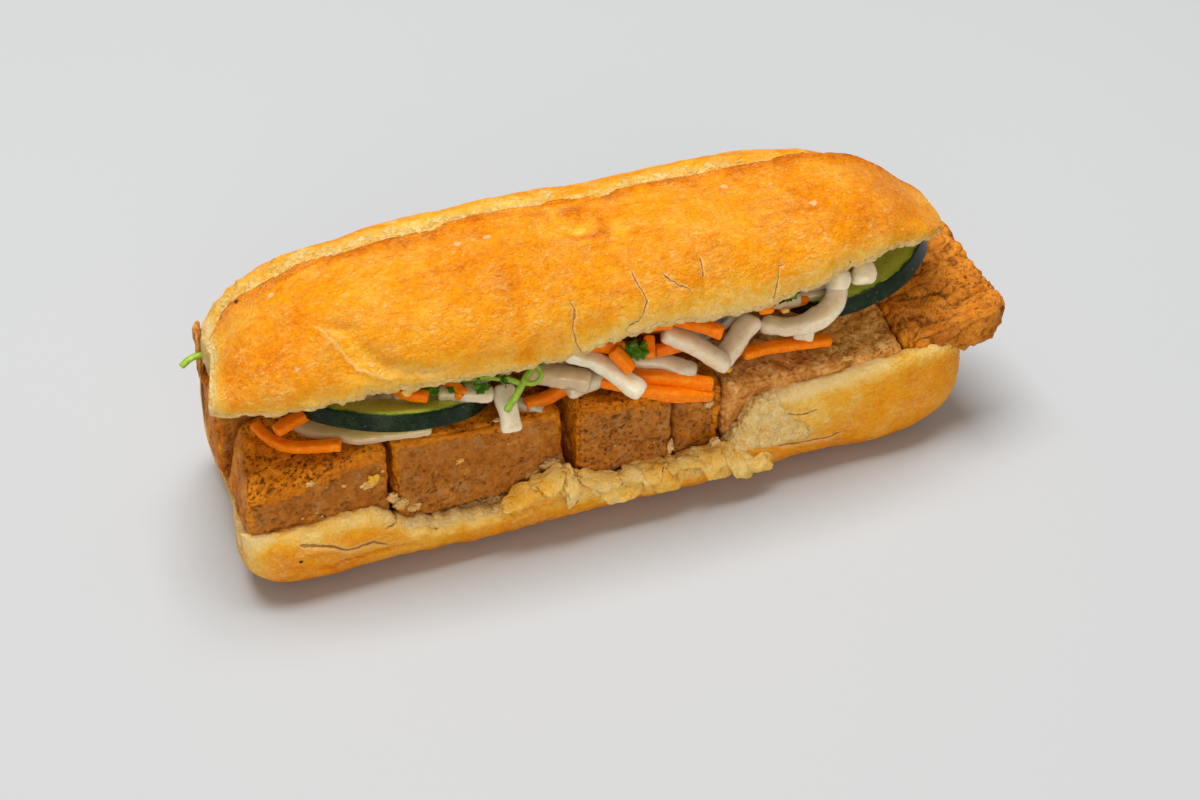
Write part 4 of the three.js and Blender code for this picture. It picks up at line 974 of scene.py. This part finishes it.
        # wrinkle creases join pit, so they get painted shade
        pit = np.clip(pit + 0.85 * wrinkle * smooth(0.07, 0.0, ridge), 0, 1)
    v = base + nrm * d[:, None]
    sk = skin[0] * is_top + skin[1] * is_front + skin[2] * (1 - np.clip(is_top + is_front, 0, 1))
    below = sz[2] - mm[:, 2] + 1.1 * fbm(p / 5.0 + 15, 2)
    aside = np.minimum(mm[:, 0], sz[0] - mm[:, 0]) + 0.9 * fbm(p / 4.0 + 25, 2)
    sk = np.clip(np.maximum(sk, np.maximum(0.95 * smooth(3.6, 1.8, below), 0.8 * smooth(1.8, 0.8, aside))) , 0, 1)
    porous = np.clip(is_top * pores + (1 - is_top) * front_pores, 0, 1)
    tn = tone * np.ones(len(v)) if np.isscalar(tone) else tone(v)
    ob = mesh_object(name, v, quads, (), {"skin": sk, "pit": pit, "tone": np.clip(tn, 0, 1), "pore": porous})
    dress(ob, "fried_tofu", "fried_tofu", *([node] if node else []))
    return ob


slab("tofu_slab_1", "tofu_1", [[-100.2, -27.5, 14.3], [-65, -28.5, 13.3], [-65, -1, 13.3], [-100.2, -4, 19]],
     [[-100.6, -29, 31], [-65.6, -28.4, 39.0], [-65.6, -1, 38.6], [-95.5, -6, 38.4]], front=27, pores=1.2, skin=(1, 0.1, 0.2), seed=1)
slab("tofu_slab_2", "tofu_2", [[-63.6, -27.8, 13.3], [-18.6, -27, 13.3], [-19.8, 25, 13.3], [-63.6, 25, 13.3]],
     [[-63.8, -27.6, 39.2], [-21, -27, 36.2], [-21, 24.5, 35], [-63.8, 24.5, 37]], bow=-0.9, front=22, pores=0.75, skin=(0.75, 0.22, 0.9), seed=2,
     tone=lambda v: 0.7 * smooth(-36, -24, v[:, 0]) * smooth(24, 18, v[:, 2]) * smooth(-24, -26, v[:, 1]))
slab("tofu_slab_3", "tofu_3", [[-17.6, -29.2, 13.3], [20.6, -29.2, 13.3], [20.6, 25, 13.3], [-17.6, 25, 13.3]],
     [[-17, -30, 37.8], [21.6, -29.6, 33.6], [21.2, 24.5, 35], [-16.4, 24.5, 37]], bow=-0.8, front=14, pores=1.2, skin=(0.8, 0.30, 0.6), seed=3, front_pores=0.5, split=8.6)
slab("tofu_slab_4", "tofu_4", [[22.6, -27.6, 13.3], [73, -27.6, 13.3], [73, 24.5, 13.3], [22.6, 24.5, 13.3]],
     [[23, -28, 32.2], [73, -28, 30.2], [73, 24.5, 38], [23, 24.5, 38]], bow=-0.9, front=20, pores=0.45, skin=(0.25, 0.1, 0.4), tone=1.0, wrinkle=0.22, seed=4)
slab("tofu_slab_5", "tofu_5", [[74, -27, 23.5], [100.6, -27, 24.3], [99, 5, 27], [74, 16, 25]],
     [[74, -28, 30.8], [102.6, -28.8, 37.2], [101.5, 6, 42.0], [74, 18, 41]], front=34, pores=0.35, skin=(0.9, 0.7, 0.6), wrinkle=1.1, tone=0.15, seed=5)
slab("tofu_slab_6", "tofu_6", [[-100.4, -2.6, 17.5], [-66, 0.4, 14], [-66, 14, 14], [-100.6, 12.5, 19.5]],
     [[-100.6, -1, 40], [-66, 0, 39], [-66, 14, 41], [-100.6, 12, 42]], front=16, pores=0.9, skin=(1, 0.1, 0.3), seed=6)
slab("tofu_slab_7", "tofu_7", [[-97.8, 14, 26], [-66, 15, 16], [-66, 26, 18], [-97.8, 22.6, 28]],
     [[-98.2, 13.4, 43], [-66, 15, 42], [-66, 25, 42], [-98.2, 22, 44.4]], front=12, pores=0.7, skin=(1, 0.4, 0.5), tone=0.4, seed=7)


# ---------------------------------------------------------------- cucumber slices
def cucumber(name, node, centre, radius, stretch, thick, tilt_x, tilt_y, seed):
    soft = 0.55
    prof = [(r, 0.0) for r in np.linspace(0.0, radius - soft, 34)[1:]]
    prof += [(radius - soft + soft * math.sin(a), -soft + soft * math.cos(a)) for a in np.linspace(0.25, math.pi / 2, 5)]
    prof += [(radius, z) for z in np.linspace(-soft, -(thick - soft), 9)[1:]]
    prof += [(radius - soft + soft * math.cos(a), -(thick - soft) - soft * math.sin(a)) for a in np.linspace(0.3, math.pi / 2, 5)]
    prof += [(r, -thick) for r in np.linspace(radius - soft, 0.0, 16)[1:-1]]
    n, m = len(prof), 200
    a = np.linspace(0, 2 * math.pi, m, endpoint=False)
    r = np.array([q[0] for q in prof])[:, None]
    z = np.array([q[1] for q in prof])[:, None]
    out = 1 + 0.012 * np.sin(3 * a + seed) + 0.008 * np.sin(7 * a + 2 * seed)
    x, y = r * np.cos(a) * out * stretch, r * np.sin(a) * out
    zz = z + 0.35 * np.sin(2 * a + seed)[None, :] * (r / radius) ** 2
    g = np.stack([x, y, zz + 0 * x], -1)
    rad = r / radius * np.ones((1, m))
    rim = ((r > radius - soft * 0.9) & (z < -0.12)) * np.ones((1, m))
    bumpy = fbm(np.stack([x, y, zz + 0 * x], -1).reshape(-1, 3) / 1.8 + seed, 2).reshape(n, m)
    g[..., 2] += 0.10 * bumpy * (rad < 0.97)
    verts = g.reshape(-1, 3).tolist()
    c0, c1 = len(verts), len(verts) + 1
    verts += [[0, 0, 0], [0, 0, -thick]]
    verts = np.array(verts)
    tx, ty = math.radians(tilt_x), math.radians(tilt_y)
    rx = np.array([[1, 0, 0], [0, math.cos(tx), -math.sin(tx)], [0, math.sin(tx), math.cos(tx)]])
    ry = np.array([[math.cos(ty), 0, math.sin(ty)], [0, 1, 0], [-math.sin(ty), 0, math.cos(ty)]])
    verts = verts @ (ry @ rx).T + np.array(centre)
    tris = [[c0, j, (j + 1) % m] for j in range(m)] + [[c1, (n - 1) * m + (j + 1) % m, (n - 1) * m + j] for j in range(m)]
    ob = mesh_object(name, verts, grid_quads(n, m), tris, {"rad": np.append(rad.ravel(), [0, 0]), "rim": np.append(rim.ravel(), [0, 0])})
    tidy(ob)
    return dress(ob, "cucumber", "cucumber", node)


slab("tofu_scrap", None, [[-101.4, 11.6, 39.0], [-99.4, 11.6, 39.0], [-98.2, 16, 39.5], [-100.2, 16, 40.0]],
     [[-101.2, 11.6, 54.6], [-99.4, 11.6, 55.2], [-98.2, 16, 55.2], [-100.0, 16, 54.4]], radius=0.8, fine=0.45, front=12, pores=0.2, skin=(0.2, 0.2, 0.1), tone=1.0, seed=9)
cucumber("cucumber_slice_1", "cucumber_1", (-58.1, -9.4, 42.3), 21.5, 1.17, 4.6, -16, 8.2, 1.0)
cucumber("cucumber_slice_2", "cucumber_2", (66.2, -3.6, 46), 21, 1, 5, -10.7, -18.1, 2.0)
cucumber("cucumber_slice_3", "cucumber_3", (36.5, 1.5, 50.5), 22, 1, 4.6, -3, 0, 3.0)


# ---------------------------------------------------------------- strips
def sweep(pool, path, wide, high, seed=0, step=0.55, sides=20, round_=False, shade=0.0, wave=0.3, leaf=None, tip=0.72, soft=0.3, vary=0.13):
    path = np.array(path, float)
    if len(path) == 2:
        path = np.array([path[0], path.mean(0) + [0, 0, 0.02 * np.linalg.norm(path[1] - path[0])], path[1]])
    # centripetal Catmull-Rom, resampled evenly
    pts = np.vstack([2 * path[0] - path[1], path, 2 * path[-1] - path[-2]])
    dense = []
    for i in range(1, len(pts) - 2):
        p0, p1, p2, p3 = pts[i - 1 : i + 3]
        t0 = 0.0
        t1 = t0 + np.linalg.norm(p1 - p0) ** 0.5
        t2 = t1 + np.linalg.norm(p2 - p1) ** 0.5
        t3 = t2 + np.linalg.norm(p3 - p2) ** 0.5
        for t in np.linspace(t1, t2, 24, endpoint=(i == len(pts) - 3)):
            a1 = (t1 - t) / (t1 - t0) * p0 + (t - t0) / (t1 - t0) * p1
            a2 = (t2 - t) / (t2 - t1) * p1 + (t - t1) / (t2 - t1) * p2
            a3 = (t3 - t) / (t3 - t2) * p2 + (t - t2) / (t3 - t2) * p3
            b1 = (t2 - t) / (t2 - t0) * a1 + (t - t0) / (t2 - t0) * a2
            b2 = (t3 - t) / (t3 - t1) * a2 + (t - t1) / (t3 - t1) * a3
            dense.append((t2 - t) / (t2 - t1) * b1 + (t - t1) / (t2 - t1) * b2)
    dense = np.array(dense)
    arc = np.concatenate([[0], np.cumsum(np.linalg.norm(np.diff(dense, axis=0), axis=1))])
    total = arc[-1]
    cap = soft * min(wide, high)
    s = np.concatenate([[0, 0.12 * cap, 0.4 * cap], np.linspace(cap, total - cap, max(4, int(total / step))), [total - 0.4 * cap, total - 0.12 * cap, total]])
    c = np.stack([np.interp(s, arc, dense[:, k]) for k in range(3)], 1)
    tang = np.gradient(c, s, axis=0)
    tang /= np.linalg.norm(tang, axis=1, keepdims=True)
    chord = path[-1] - path[0]
    chord /= np.linalg.norm(chord)
    up = np.array([0.2, -1, 0]) if abs(chord[2]) > 0.8 else np.array([0, 0, 1.0])
    side = np.cross(tang, up)
    side /= np.linalg.norm(side, axis=1, keepdims=True)
    lift = np.cross(side, tang)
    end = np.minimum(s, total - s)
    size = np.where(end < cap, tip + (1 - tip) * np.sqrt(np.clip(1 - (1 - end / cap) ** 2, 0, 1)), 1.0)
    k = 2.0 if round_ else (3.0 if wide > 3.7 else 4.0)
    a = np.linspace(0, 2 * math.pi, sides, endpoint=False) + 0.02
    ca, sa = np.cos(a), np.sin(a)
    ex = np.sign(ca) * np.abs(ca) ** (2 / k) * 0.5
    ey = np.sign(sa) * np.abs(sa) ** (2 / k) * 0.5
    lz = np.stack([s / 9.0, np.full_like(s, seed * 3.1), np.zeros_like(s)], 1)
    wv = 1 + vary * fbm(lz, 2)
    hv = 1 + vary * fbm(lz + 40, 2)
    lean = wave * fbm(lz * 1.3 + 80, 2)
    g = c[:, None, :] + side[:, None, :] * ((ex[None, :] * (wide * wv * size)[:, None]) + lean[:, None])[..., None] \
        + lift[:, None, :] * (ey[None, :] * (high * hv * size)[:, None])[..., None]
    n, m = len(s), sides
    p = g.reshape(-1, 3)
    nrm = (g - c[:, None, :])
    nrm /= np.linalg.norm(nrm, axis=-1, keepdims=True)
    amp = 0.04 * min(wide, high)
    g = g + nrm * (amp * fbm(p / 1.6 + seed, 2) + amp * 0.7 * fbm(p / 4.0 + seed, 1)).reshape(n, m, 1)
    verts = np.vstack([g.reshape(-1, 3), c[0][None] - tang[0] * 0.05, c[-1][None] + tang[-1] * 0.05])
    e0, e1 = n * m, n * m + 1
    tris = [[e0, (j + 1) % m, j] for j in range(m)] + [[e1, (n - 1) * m + j, (n - 1) * m + (j + 1) % m] for j in range(m)]
    attrs = {"shade": shade}
    if leaf is not None:
        attrs = {"leaf": leaf}
    pool.add(verts, grid_quads(n, m), tris, attrs)


carrots = [
    [3, 2.4, [[-92.5, -9.4, 39], [-90.7, -15, 38.6], [-85.9, -20.6, 38.6], [-75.4, -25.0, 39.6]], 0.0],
    [3.4, 2.4, [[-89.5, -18.2, 42.6], [-81.6, -15.8, 43.6], [-74.5, -13.5, 44.6]], 0.2],
    [3.2, 2.6, [[-62, -18.5, 49.6], [-59, -23.4, 49.6], [-53.8, -26.6, 49]], 0.0],
    [3.2, 3.2, [[-47.6, -19.8, 48.2], [-45.2, -26.6, 47]], 0.0],
    [3, 2.4, [[-70, -17.6, 49.8], [-62.6, -20.5, 50]], 0.7],
    [3, 3, [[-28.6, -23.5, 37.2], [-22.4, -23, 37.6], [-13.6, -22.8, 41]], 0.45],
    [3, 3, [[-11, -21.5, 49.4], [-3, -24.6, 48.4]], 0.1],
    [3, 3, [[-7, -26.8, 50.6], [-3.4, -30, 45.6]], 0.0],
    [3, 3, [[-6.5, -21.4, 53], [1.8, -19.6, 51.6]], 0.1],
    [3, 3, [[-1.1, -23.1, 53.4], [9.6, -24.6, 52.8]], 0.1],
    [3, 3, [[3.6, -24, 49.8], [2, -28.3, 46.8]], 0.05],
    [3, 3, [[5, -25, 45.6], [14.4, -25.2, 46]], 0.3],
    [4, 3, [[11, -21.6, 52], [15.6, -26.6, 52], [20.6, -30.2, 50.6]], 0.1],
    [3.6, 3, [[-1.6, -26, 40.8], [8, -29.4, 39.4], [17.2, -32.8, 37.4]], 0.0],
    [3.6, 3, [[-1.7, -29, 38.6], [7.4, -32.2, 36.8], [16.9, -32.6, 34.6]], 0.0],
    [3.6, 2.6, [[29.6, -22.8, 36.8], [41, -22.6, 36.2], [53.4, -24, 35.6]], 0.0],
    [4, 3, [[36, -18, 54.2], [34.5, -25.4, 49.8]], 0.0],
    [3, 3, [[-10.6, -23.9, 40.4], [-3.4, -28.8, 39.4]], 0.1],
]
daikons = [
    [5.0, 2.6, [[-83, -10.5, 38.0], [-78, -17.5, 38.6], [-70, -23.0, 39.4], [-53.5, -26.6, 40.0]], 0.62],
    [5.2, 3.5, [[-33.6, -22.5, 44], [-34.2, -26.8, 40.8], [-34.6, -30.4, 35.6]], 0.0],
    [5.6, 4, [[-17.5, -22.4, 49.4], [-9.6, -25.4, 46], [-1.2, -32.4, 39.8]], 0.0],
    [5, 4, [[-18.4, -25.6, 40], [-8.6, -23.2, 40.4], [0.6, -21.6, 41]], 0.35],
    [5, 3.4, [[-50.4, -23, 46.6], [-37.5, -26, 45]], 0.3],
    [3, 3, [[-31.2, -20.5, 36.8], [-24.6, -25.4, 35.4]], 0.3],
    [6, 5, [[-26, -18.5, 43], [-12.6, -26.6, 42.2]], 0.55],
    [6, 4, [[-3.4, -19.6, 43], [5.2, -24, 41.6], [14.4, -28.6, 38.8]], 0.15],
    [6, 4, [[7.4, -23.4, 49.6], [15, -26, 45.6], [22.4, -29.8, 39.4]], 0.15],
    [6, 4, [[33.2, -20.6, 45.6], [27, -24, 42], [21.8, -25.6, 37.6]], 0.2],
    [5.5, 4, [[57, -17.6, 51], [55.2, -22.4, 48], [49.4, -24.8, 44], [42, -21.8, 41], [37, -17.6, 40.4]], 0.1],
    [5, 5.4, [[55.8, -21.8, 55], [54.8, -24.6, 51]], 0.0],
    [6, 6, [[62.4, -20.8, 55.4], [61.4, -24.6, 51]], 0.0],
    [3, 3, [[43.6, -22.6, 39.6], [48, -25.4, 39.2]], 0.1],
]
for i, (w, h, path, shade) in enumerate(carrots):
    pool = Pool()
    sweep(pool, path, w, h, seed=i + 1, shade=shade)
    ob = pool.make("carrot_strip_%02d" % (i + 1))
    tidy(ob)
    dress(ob, "carrot", "carrot", "carrot_%02d" % (i + 1))
for i, (w, h, path, shade) in enumerate(daikons):
    pool = Pool()
    sweep(pool, path, w, h, seed=i + 31, shade=shade, tip=0.60, soft=0.40, sides=24, vary=0.20, wave=0.5)
    ob = pool.make("daikon_strip_%02d" % (i + 1))
    tidy(ob)
    dress(ob, "daikon", "daikon", "daikon_%02d" % (i + 1))

# the heap behind: a small core under many real strips
heap_d, heap_c = Pool(), Pool()
for k in range(120):
    x = rng.uniform(-88, 76)
    y = rng.uniform(-19, 16)
    edge = float(edge_height(x))
    z = rng.uniform(41, min(49.5, edge - 3.5) if y < -12 else 49.0)
    yaw = rng.uniform(-0.9, 0.9)
    ln = rng.uniform(12, 26)
    dx, dy = math.cos(yaw) * ln / 2, math.sin(yaw) * ln / 2
    a = [x - dx, max(-19, min(20, y - dy)), z + rng.uniform(-1.2, 1.2)]
    b = [x + dx, max(-19, min(20, y + dy)), z + rng.uniform(-1.2, 1.2)]
    if min(a[0], b[0]) < -92 or max(a[0], b[0]) > 80:
        continue
    midp = [x + rng.uniform(-1, 1), y + rng.uniform(-1.5, 1.5), z + rng.uniform(-0.8, 0.8)]
    midp[1] = max(-19, min(20, midp[1]))
    carrot = rng.rand() < 0.38
    w = rng.uniform(2.6, 3.4) if carrot else rng.uniform(3.6, 5.4)
    if min(a[0], b[0]) < -76 and min(a[1], b[1], midp[1]) < -4:
        continue
    sweep(heap_c if carrot else heap_d, [a, midp, b], w, w * 0.8, seed=60 + k, step=1.4, sides=12, shade=0.25 if carrot else 0.4)
ob = heap_d.make("daikon_heap")
tidy(ob)
dress(ob, "daikon", "daikon", "pickle_bed")
ob = heap_c.make("carrot_heap")
tidy(ob)
dress(ob, "carrot", "carrot")
core = Pool()
sweep(core, [[-90, 6, 41], [-30, 6, 41.5], [30, 6, 42], [74, 6, 43]], 26, 10, seed=99, step=2.5, sides=28, shade=0.9, wave=1.0)
ob = core.make("heap_core")
tidy(ob)
dress(ob, "daikon", "daikon")

# ---------------------------------------------------------------- coriander
def leaflet(pool, base, direction, size, seed, normal=(0, -0.6, 0.8)):
    """one lobed leaf, thin but solid, cupped a little"""
    base, direction, normal = np.array(base, float), np.array(direction, float), np.array(normal, float)
    direction /= np.linalg.norm(direction)
    side = np.cross(direction, normal)
    side /= np.linalg.norm(side)
    normal = np.cross(side, direction)
    m, rings = 48, 6
    a = np.linspace(-math.pi, math.pi, m, endpoint=False)
    rr = size * (0.55 + 0.28 * np.abs(np.cos(2.5 * a)) + 0.07 * np.cos(11 * a + seed)) * (0.75 + 0.25 * np.cos(a))
    top = []
    for k in range(1, rings + 1):
        f = k / rings
        u = f * rr * np.cos(a) + size * 0.45
        v = f * rr * np.sin(a)
        w = 0.22 * size * f * f * np.cos(2 * a + seed) + 0.1 * size * f * np.sin(5 * a + seed)
        top.append(base + u[:, None] * direction + v[:, None] * side + w[:, None] * normal)
    top = np.array(top)
    mid = base + direction * size * 0.45
    under = top - normal * 0.22
    verts = np.vstack([top.reshape(-1, 3), under.reshape(-1, 3), mid[None], (mid - normal * 0.22)[None]])
    q1 = grid_quads(rings, m)
    q2 = grid_quads(rings, m)[:, ::-1] + rings * m
    j = np.arange(m)
    rimq = np.stack([(rings - 1) * m + j, (rings - 1) * m + (j + 1) % m, rings * m + (rings - 1) * m + (j + 1) % m, rings * m + (rings - 1) * m + j], 1)
    c0, c1 = 2 * rings * m, 2 * rings * m + 1
    tris = [[c0, (k + 1) % m, k] for k in range(m)] + [[c1, rings * m + k, rings * m + (k + 1) % m] for k in range(m)]
    pool.add(verts, np.vstack([q1, q2, rimq]), tris, {"leaf": 1.0})


herb = Pool()
sweep(herb, [[-36, -31.2, 43], [-33.2, -30.4, 46.4], [-30.6, -28.6, 48.6], [-27.6, -26.4, 50.2], [-26.4, -25, 52]], 1.8, 1.8, seed=201, round_=True, leaf=0.0, step=0.4, sides=14)
sweep(herb, [[-31, -29, 48.2], [-34, -27.4, 49.4], [-38, -25, 49.4], [-44.6, -22.6, 49]], 1.5, 1.5, seed=202, round_=True, leaf=0.1, step=0.4, sides=14)
sweep(herb, [[-30.6, -28.8, 48.4], [-28, -29.4, 48.2], [-26.2, -29, 49.6], [-26.6, -27.2, 51.4]], 1.3, 1.3, seed=203, round_=True, leaf=0.1, step=0.4, sides=14)
leaflet(herb, [-44, -23.6, 49], [-1, -0.5, -0.1], 4.2, 1.0)
leaflet(herb, [-40, -25.6, 49.6], [-0.4, -1, -0.2], 3.4, 2.0)
leaflet(herb, [-50, -22.6, 49.4], [-1, -0.4, 0.1], 4.0, 3.0)
leaflet(herb, [-26.6, -27.0, 51.8], [0.2, -0.3, 0.6], 3.0, 4.0)
leaflet(herb, [-56, -22.4, 50.2], [-1, -0.6, 0.0], 3.2, 5.0)
leaflet(herb, [-34.6, -26.8, 49.8], [-0.5, -0.6, 0.3], 3.2, 6.0)
leaflet(herb, [-4.4, -24.4, 49.6], [1, -0.8, -0.3], 4.6, 7.0)
leaflet(herb, [-1.6, -25.2, 49.2], [0.6, -0.9, -0.1], 4.0, 8.0)
leaflet(herb, [40.6, -19.6, 50.4], [1, -0.5, 0.0], 3.6, 9.0)
ob = herb.make("coriander_sprig")
tidy(ob)
dress(ob, "coriander", "coriander", "coriander_1")
herb = Pool()
sweep(herb, [[-105.2, 9.6, 46.2], [-103.2, 10.2, 47.3], [-100, 11.2, 47.6], [-95, 12, 47.2]], 1.9, 1.5, seed=211, round_=True, leaf=0.0, step=0.4, sides=14)
ob = herb.make("coriander_stem")
tidy(ob)
dress(ob, "coriander", "coriander", "coriander_2")


# ---------------------------------------------------------------- small bits on the filling
def pebble(pool, at, size, seed, gold=0.0):
    n, m = 16, 24
    th = np.linspace(0.12, math.pi - 0.12, n)[:, None]
    ph = np.linspace(0, 2 * math.pi, m, endpoint=False)[None, :]
    g = np.stack([np.sin(th) * np.cos(ph), np.sin(th) * np.sin(ph), np.cos(th) * np.ones_like(ph)], -1)
    d = 1 + 0.75 * fbm(g.reshape(-1, 3) * 1.5 + seed, 3).reshape(n, m)
    g = g * d[..., None] * np.array(size) * 0.5
    verts = np.vstack([g.reshape(-1, 3), [[0, 0, size[2] * 0.5]], [[0, 0, -size[2] * 0.5]]]) + np.array(at)
    tris = [[n * m, j, (j + 1) % m] for j in range(m)] + [[n * m + 1, (n - 1) * m + (j + 1) % m, (n - 1) * m + j] for j in range(m)]
    pool.add(verts, grid_quads(n, m), tris, {"gold": gold})


bits = Pool()
for k, (at, size, gold) in enumerate([
    ((-69.2, -28.6, 29.8), (2.8, 1.0, 2.6), 0.95), ((-70.2, -28.5, 28.4), (3.8, 0.8, 2.2), 0.35), ((-84.6, -29.2, 33.4), (2.2, 0.8, 1.0), 0.2),
    ((7.2, -30.6, 19.0), (1.6, 1.4, 3.6), 0.1), ((17.4, -30.2, 29.4), (2.0, 1.2, 2.0), 0.1), ((19.0, -31.0, 17.6), (2.6, 1.6, 1.8), 0.1),
    ((-36.0, -27.2, 37.6), (3.6, 1.0, 1.0), 0.0), ((-23.5, -27.4, 20.0), (4.6, 1.4, 2.2), 0.1), ((-28.6, -27.4, 18.0), (3.6, 1.2, 2.0), 0.2),
    ((-62.5, -28.0, 19.6), (3.4, 1.4, 3.2), 0.3), ((-59.6, -28.0, 17.6), (4.0, 1.4, 2.0), 0.35), ((-64.8, -28.4, 22.6), (2.6, 1.2, 2.6), 0.3),
    ((-46.8, -27.0, 27.6), (1.8, 0.7, 1.3), 0.7), ((56.6, -27.4, 31.0), (3.0, 1.2, 1.0), 0.5), ((37.6, -21.8, 50.4), (2.2, 1.4, 1.4), 0.5),
    ((40.6, -23.2, 47.6), (2.0, 1.4, 1.4), 0.4), ((22.4, -29.4, 38.4), (2.2, 1.6, 1.2), 0.95), ((48.6, -22.4, 40.2), (1.6, 1.4, 4.0), 0.15), ((54, -27.2, 28.2), (4.0, 1.6, 1.0), 0.7)]):
    pebble(bits, at, size, k * 7.3 + 2, gold)
for k in range(12):
    x = rng.uniform(-98, 20)
    if -20 < x < -17:
        continue
    y = -28.9 if x < -64 else (-27.8 if x < -20 else -30.0)
    z = rng.uniform(16.5, 33)
    s = rng.uniform(0.4, 0.9)
    pebble(bits, (x, y + 0.35, z), (s * 1.3, s * 0.7, s), k * 3.1 + 60, 0.2 * rng.rand())
ob = bits.make("garlic_bits")
tidy(ob)
dress(ob, "bits", "fried_tofu")

specks = Pool()
for k, (at, d) in enumerate([((-90.5, 6.4, 64.2), 1.0), ((-89.6, -33.0, 13.6), 0.9), ((-40, -29.4, 56), 0.4), ((55, -28.4, 62), 0.4)]):
    pebble(specks, at, (d, d, d * 0.8), 300 + k)
ob = specks.make("char_specks")
tidy(ob)
cm = Mat("char")
MATS["char"] = cm.done(cm.ramp(cm.noise(1.0), [(0.3, (0.012, 0.006, 0.003)), (0.7, (0.05, 0.02, 0.008))]), 0.6)
dress(ob, "char", "crust")

# ---------------------------------------------------------------- stage, camera, light
me = bpy.data.meshes.new("floor")
me.from_pydata([(-3, -3, 0), (3, -3, 0), (3, 3, 0), (-3, 3, 0)], [], [(0, 1, 2, 3)])
floor = bpy.data.objects.new("floor", me)
bpy.context.scene.collection.objects.link(floor)
fm = Mat("floor")
floor.data.materials.append(fm.done((0.525, 0.543, 0.566), 0.6, Specular_IOR_Level=0.1))

AZ, EL = math.radians(-21.0), math.radians(38.2)
back = np.array([math.sin(AZ) * math.cos(EL), -math.cos(AZ) * math.cos(EL), math.sin(EL)])
right = np.array([math.cos(AZ), math.sin(AZ), 0.0])
up = np.cross(back, right)
eye = (np.array([-176.209, -459.0403, 400.3748]) + OFF) * 0.001
cam = bpy.data.cameras.new("camera")
cam.sensor_fit = "HORIZONTAL"
cam.sensor_width = 36.0
cam.lens = 72.0
cam.clip_start = 0.01
cam.clip_end = 50
co = bpy.data.objects.new("camera", cam)
bpy.context.scene.collection.objects.link(co)
co.matrix_world = Matrix([[right[0], up[0], back[0], eye[0]], [right[1], up[1], back[1], eye[1]], [right[2], up[2], back[2], eye[2]], [0, 0, 0, 1]])
bpy.context.scene.camera = co


def area(name, at, size, watts, color=(1, 1, 1)):
    light = bpy.data.lights.new(name, "AREA")
    light.shape = "RECTANGLE"
    light.size, light.size_y = size
    light.energy = watts
    light.color = color
    ob = bpy.data.objects.new(name, light)
    bpy.context.scene.collection.objects.link(ob)
    d = np.array(at, float)
    z = d / np.linalg.norm(d)
    x = np.cross([0, 1, 0.001], z)
    x /= np.linalg.norm(x)
    y = np.cross(z, x)
    ob.matrix_world = Matrix([[x[0], y[0], z[0], at[0]], [x[1], y[1], z[1], at[1]], [x[2], y[2], z[2], at[2]], [0, 0, 0, 1]])


area("key", (-0.06, 0.20, 1.30), (0.95, 0.75), 19.4, (0.985, 1.0, 1.0))
area("fill", (-0.42, -1.45, 0.52), (1.3, 1.0), 10.2, (1.0, 0.90, 0.78))
world = bpy.data.worlds.new("world")
bpy.context.scene.world = world
world.use_nodes = True
world.node_tree.nodes["Background"].inputs[0].default_value = (1.0, 0.88, 0.76, 1)
world.node_tree.nodes["Background"].inputs[1].default_value = 0.29
bpy.context.scene.view_settings.view_transform = "Standard"
bpy.context.scene.view_settings.look = "None"
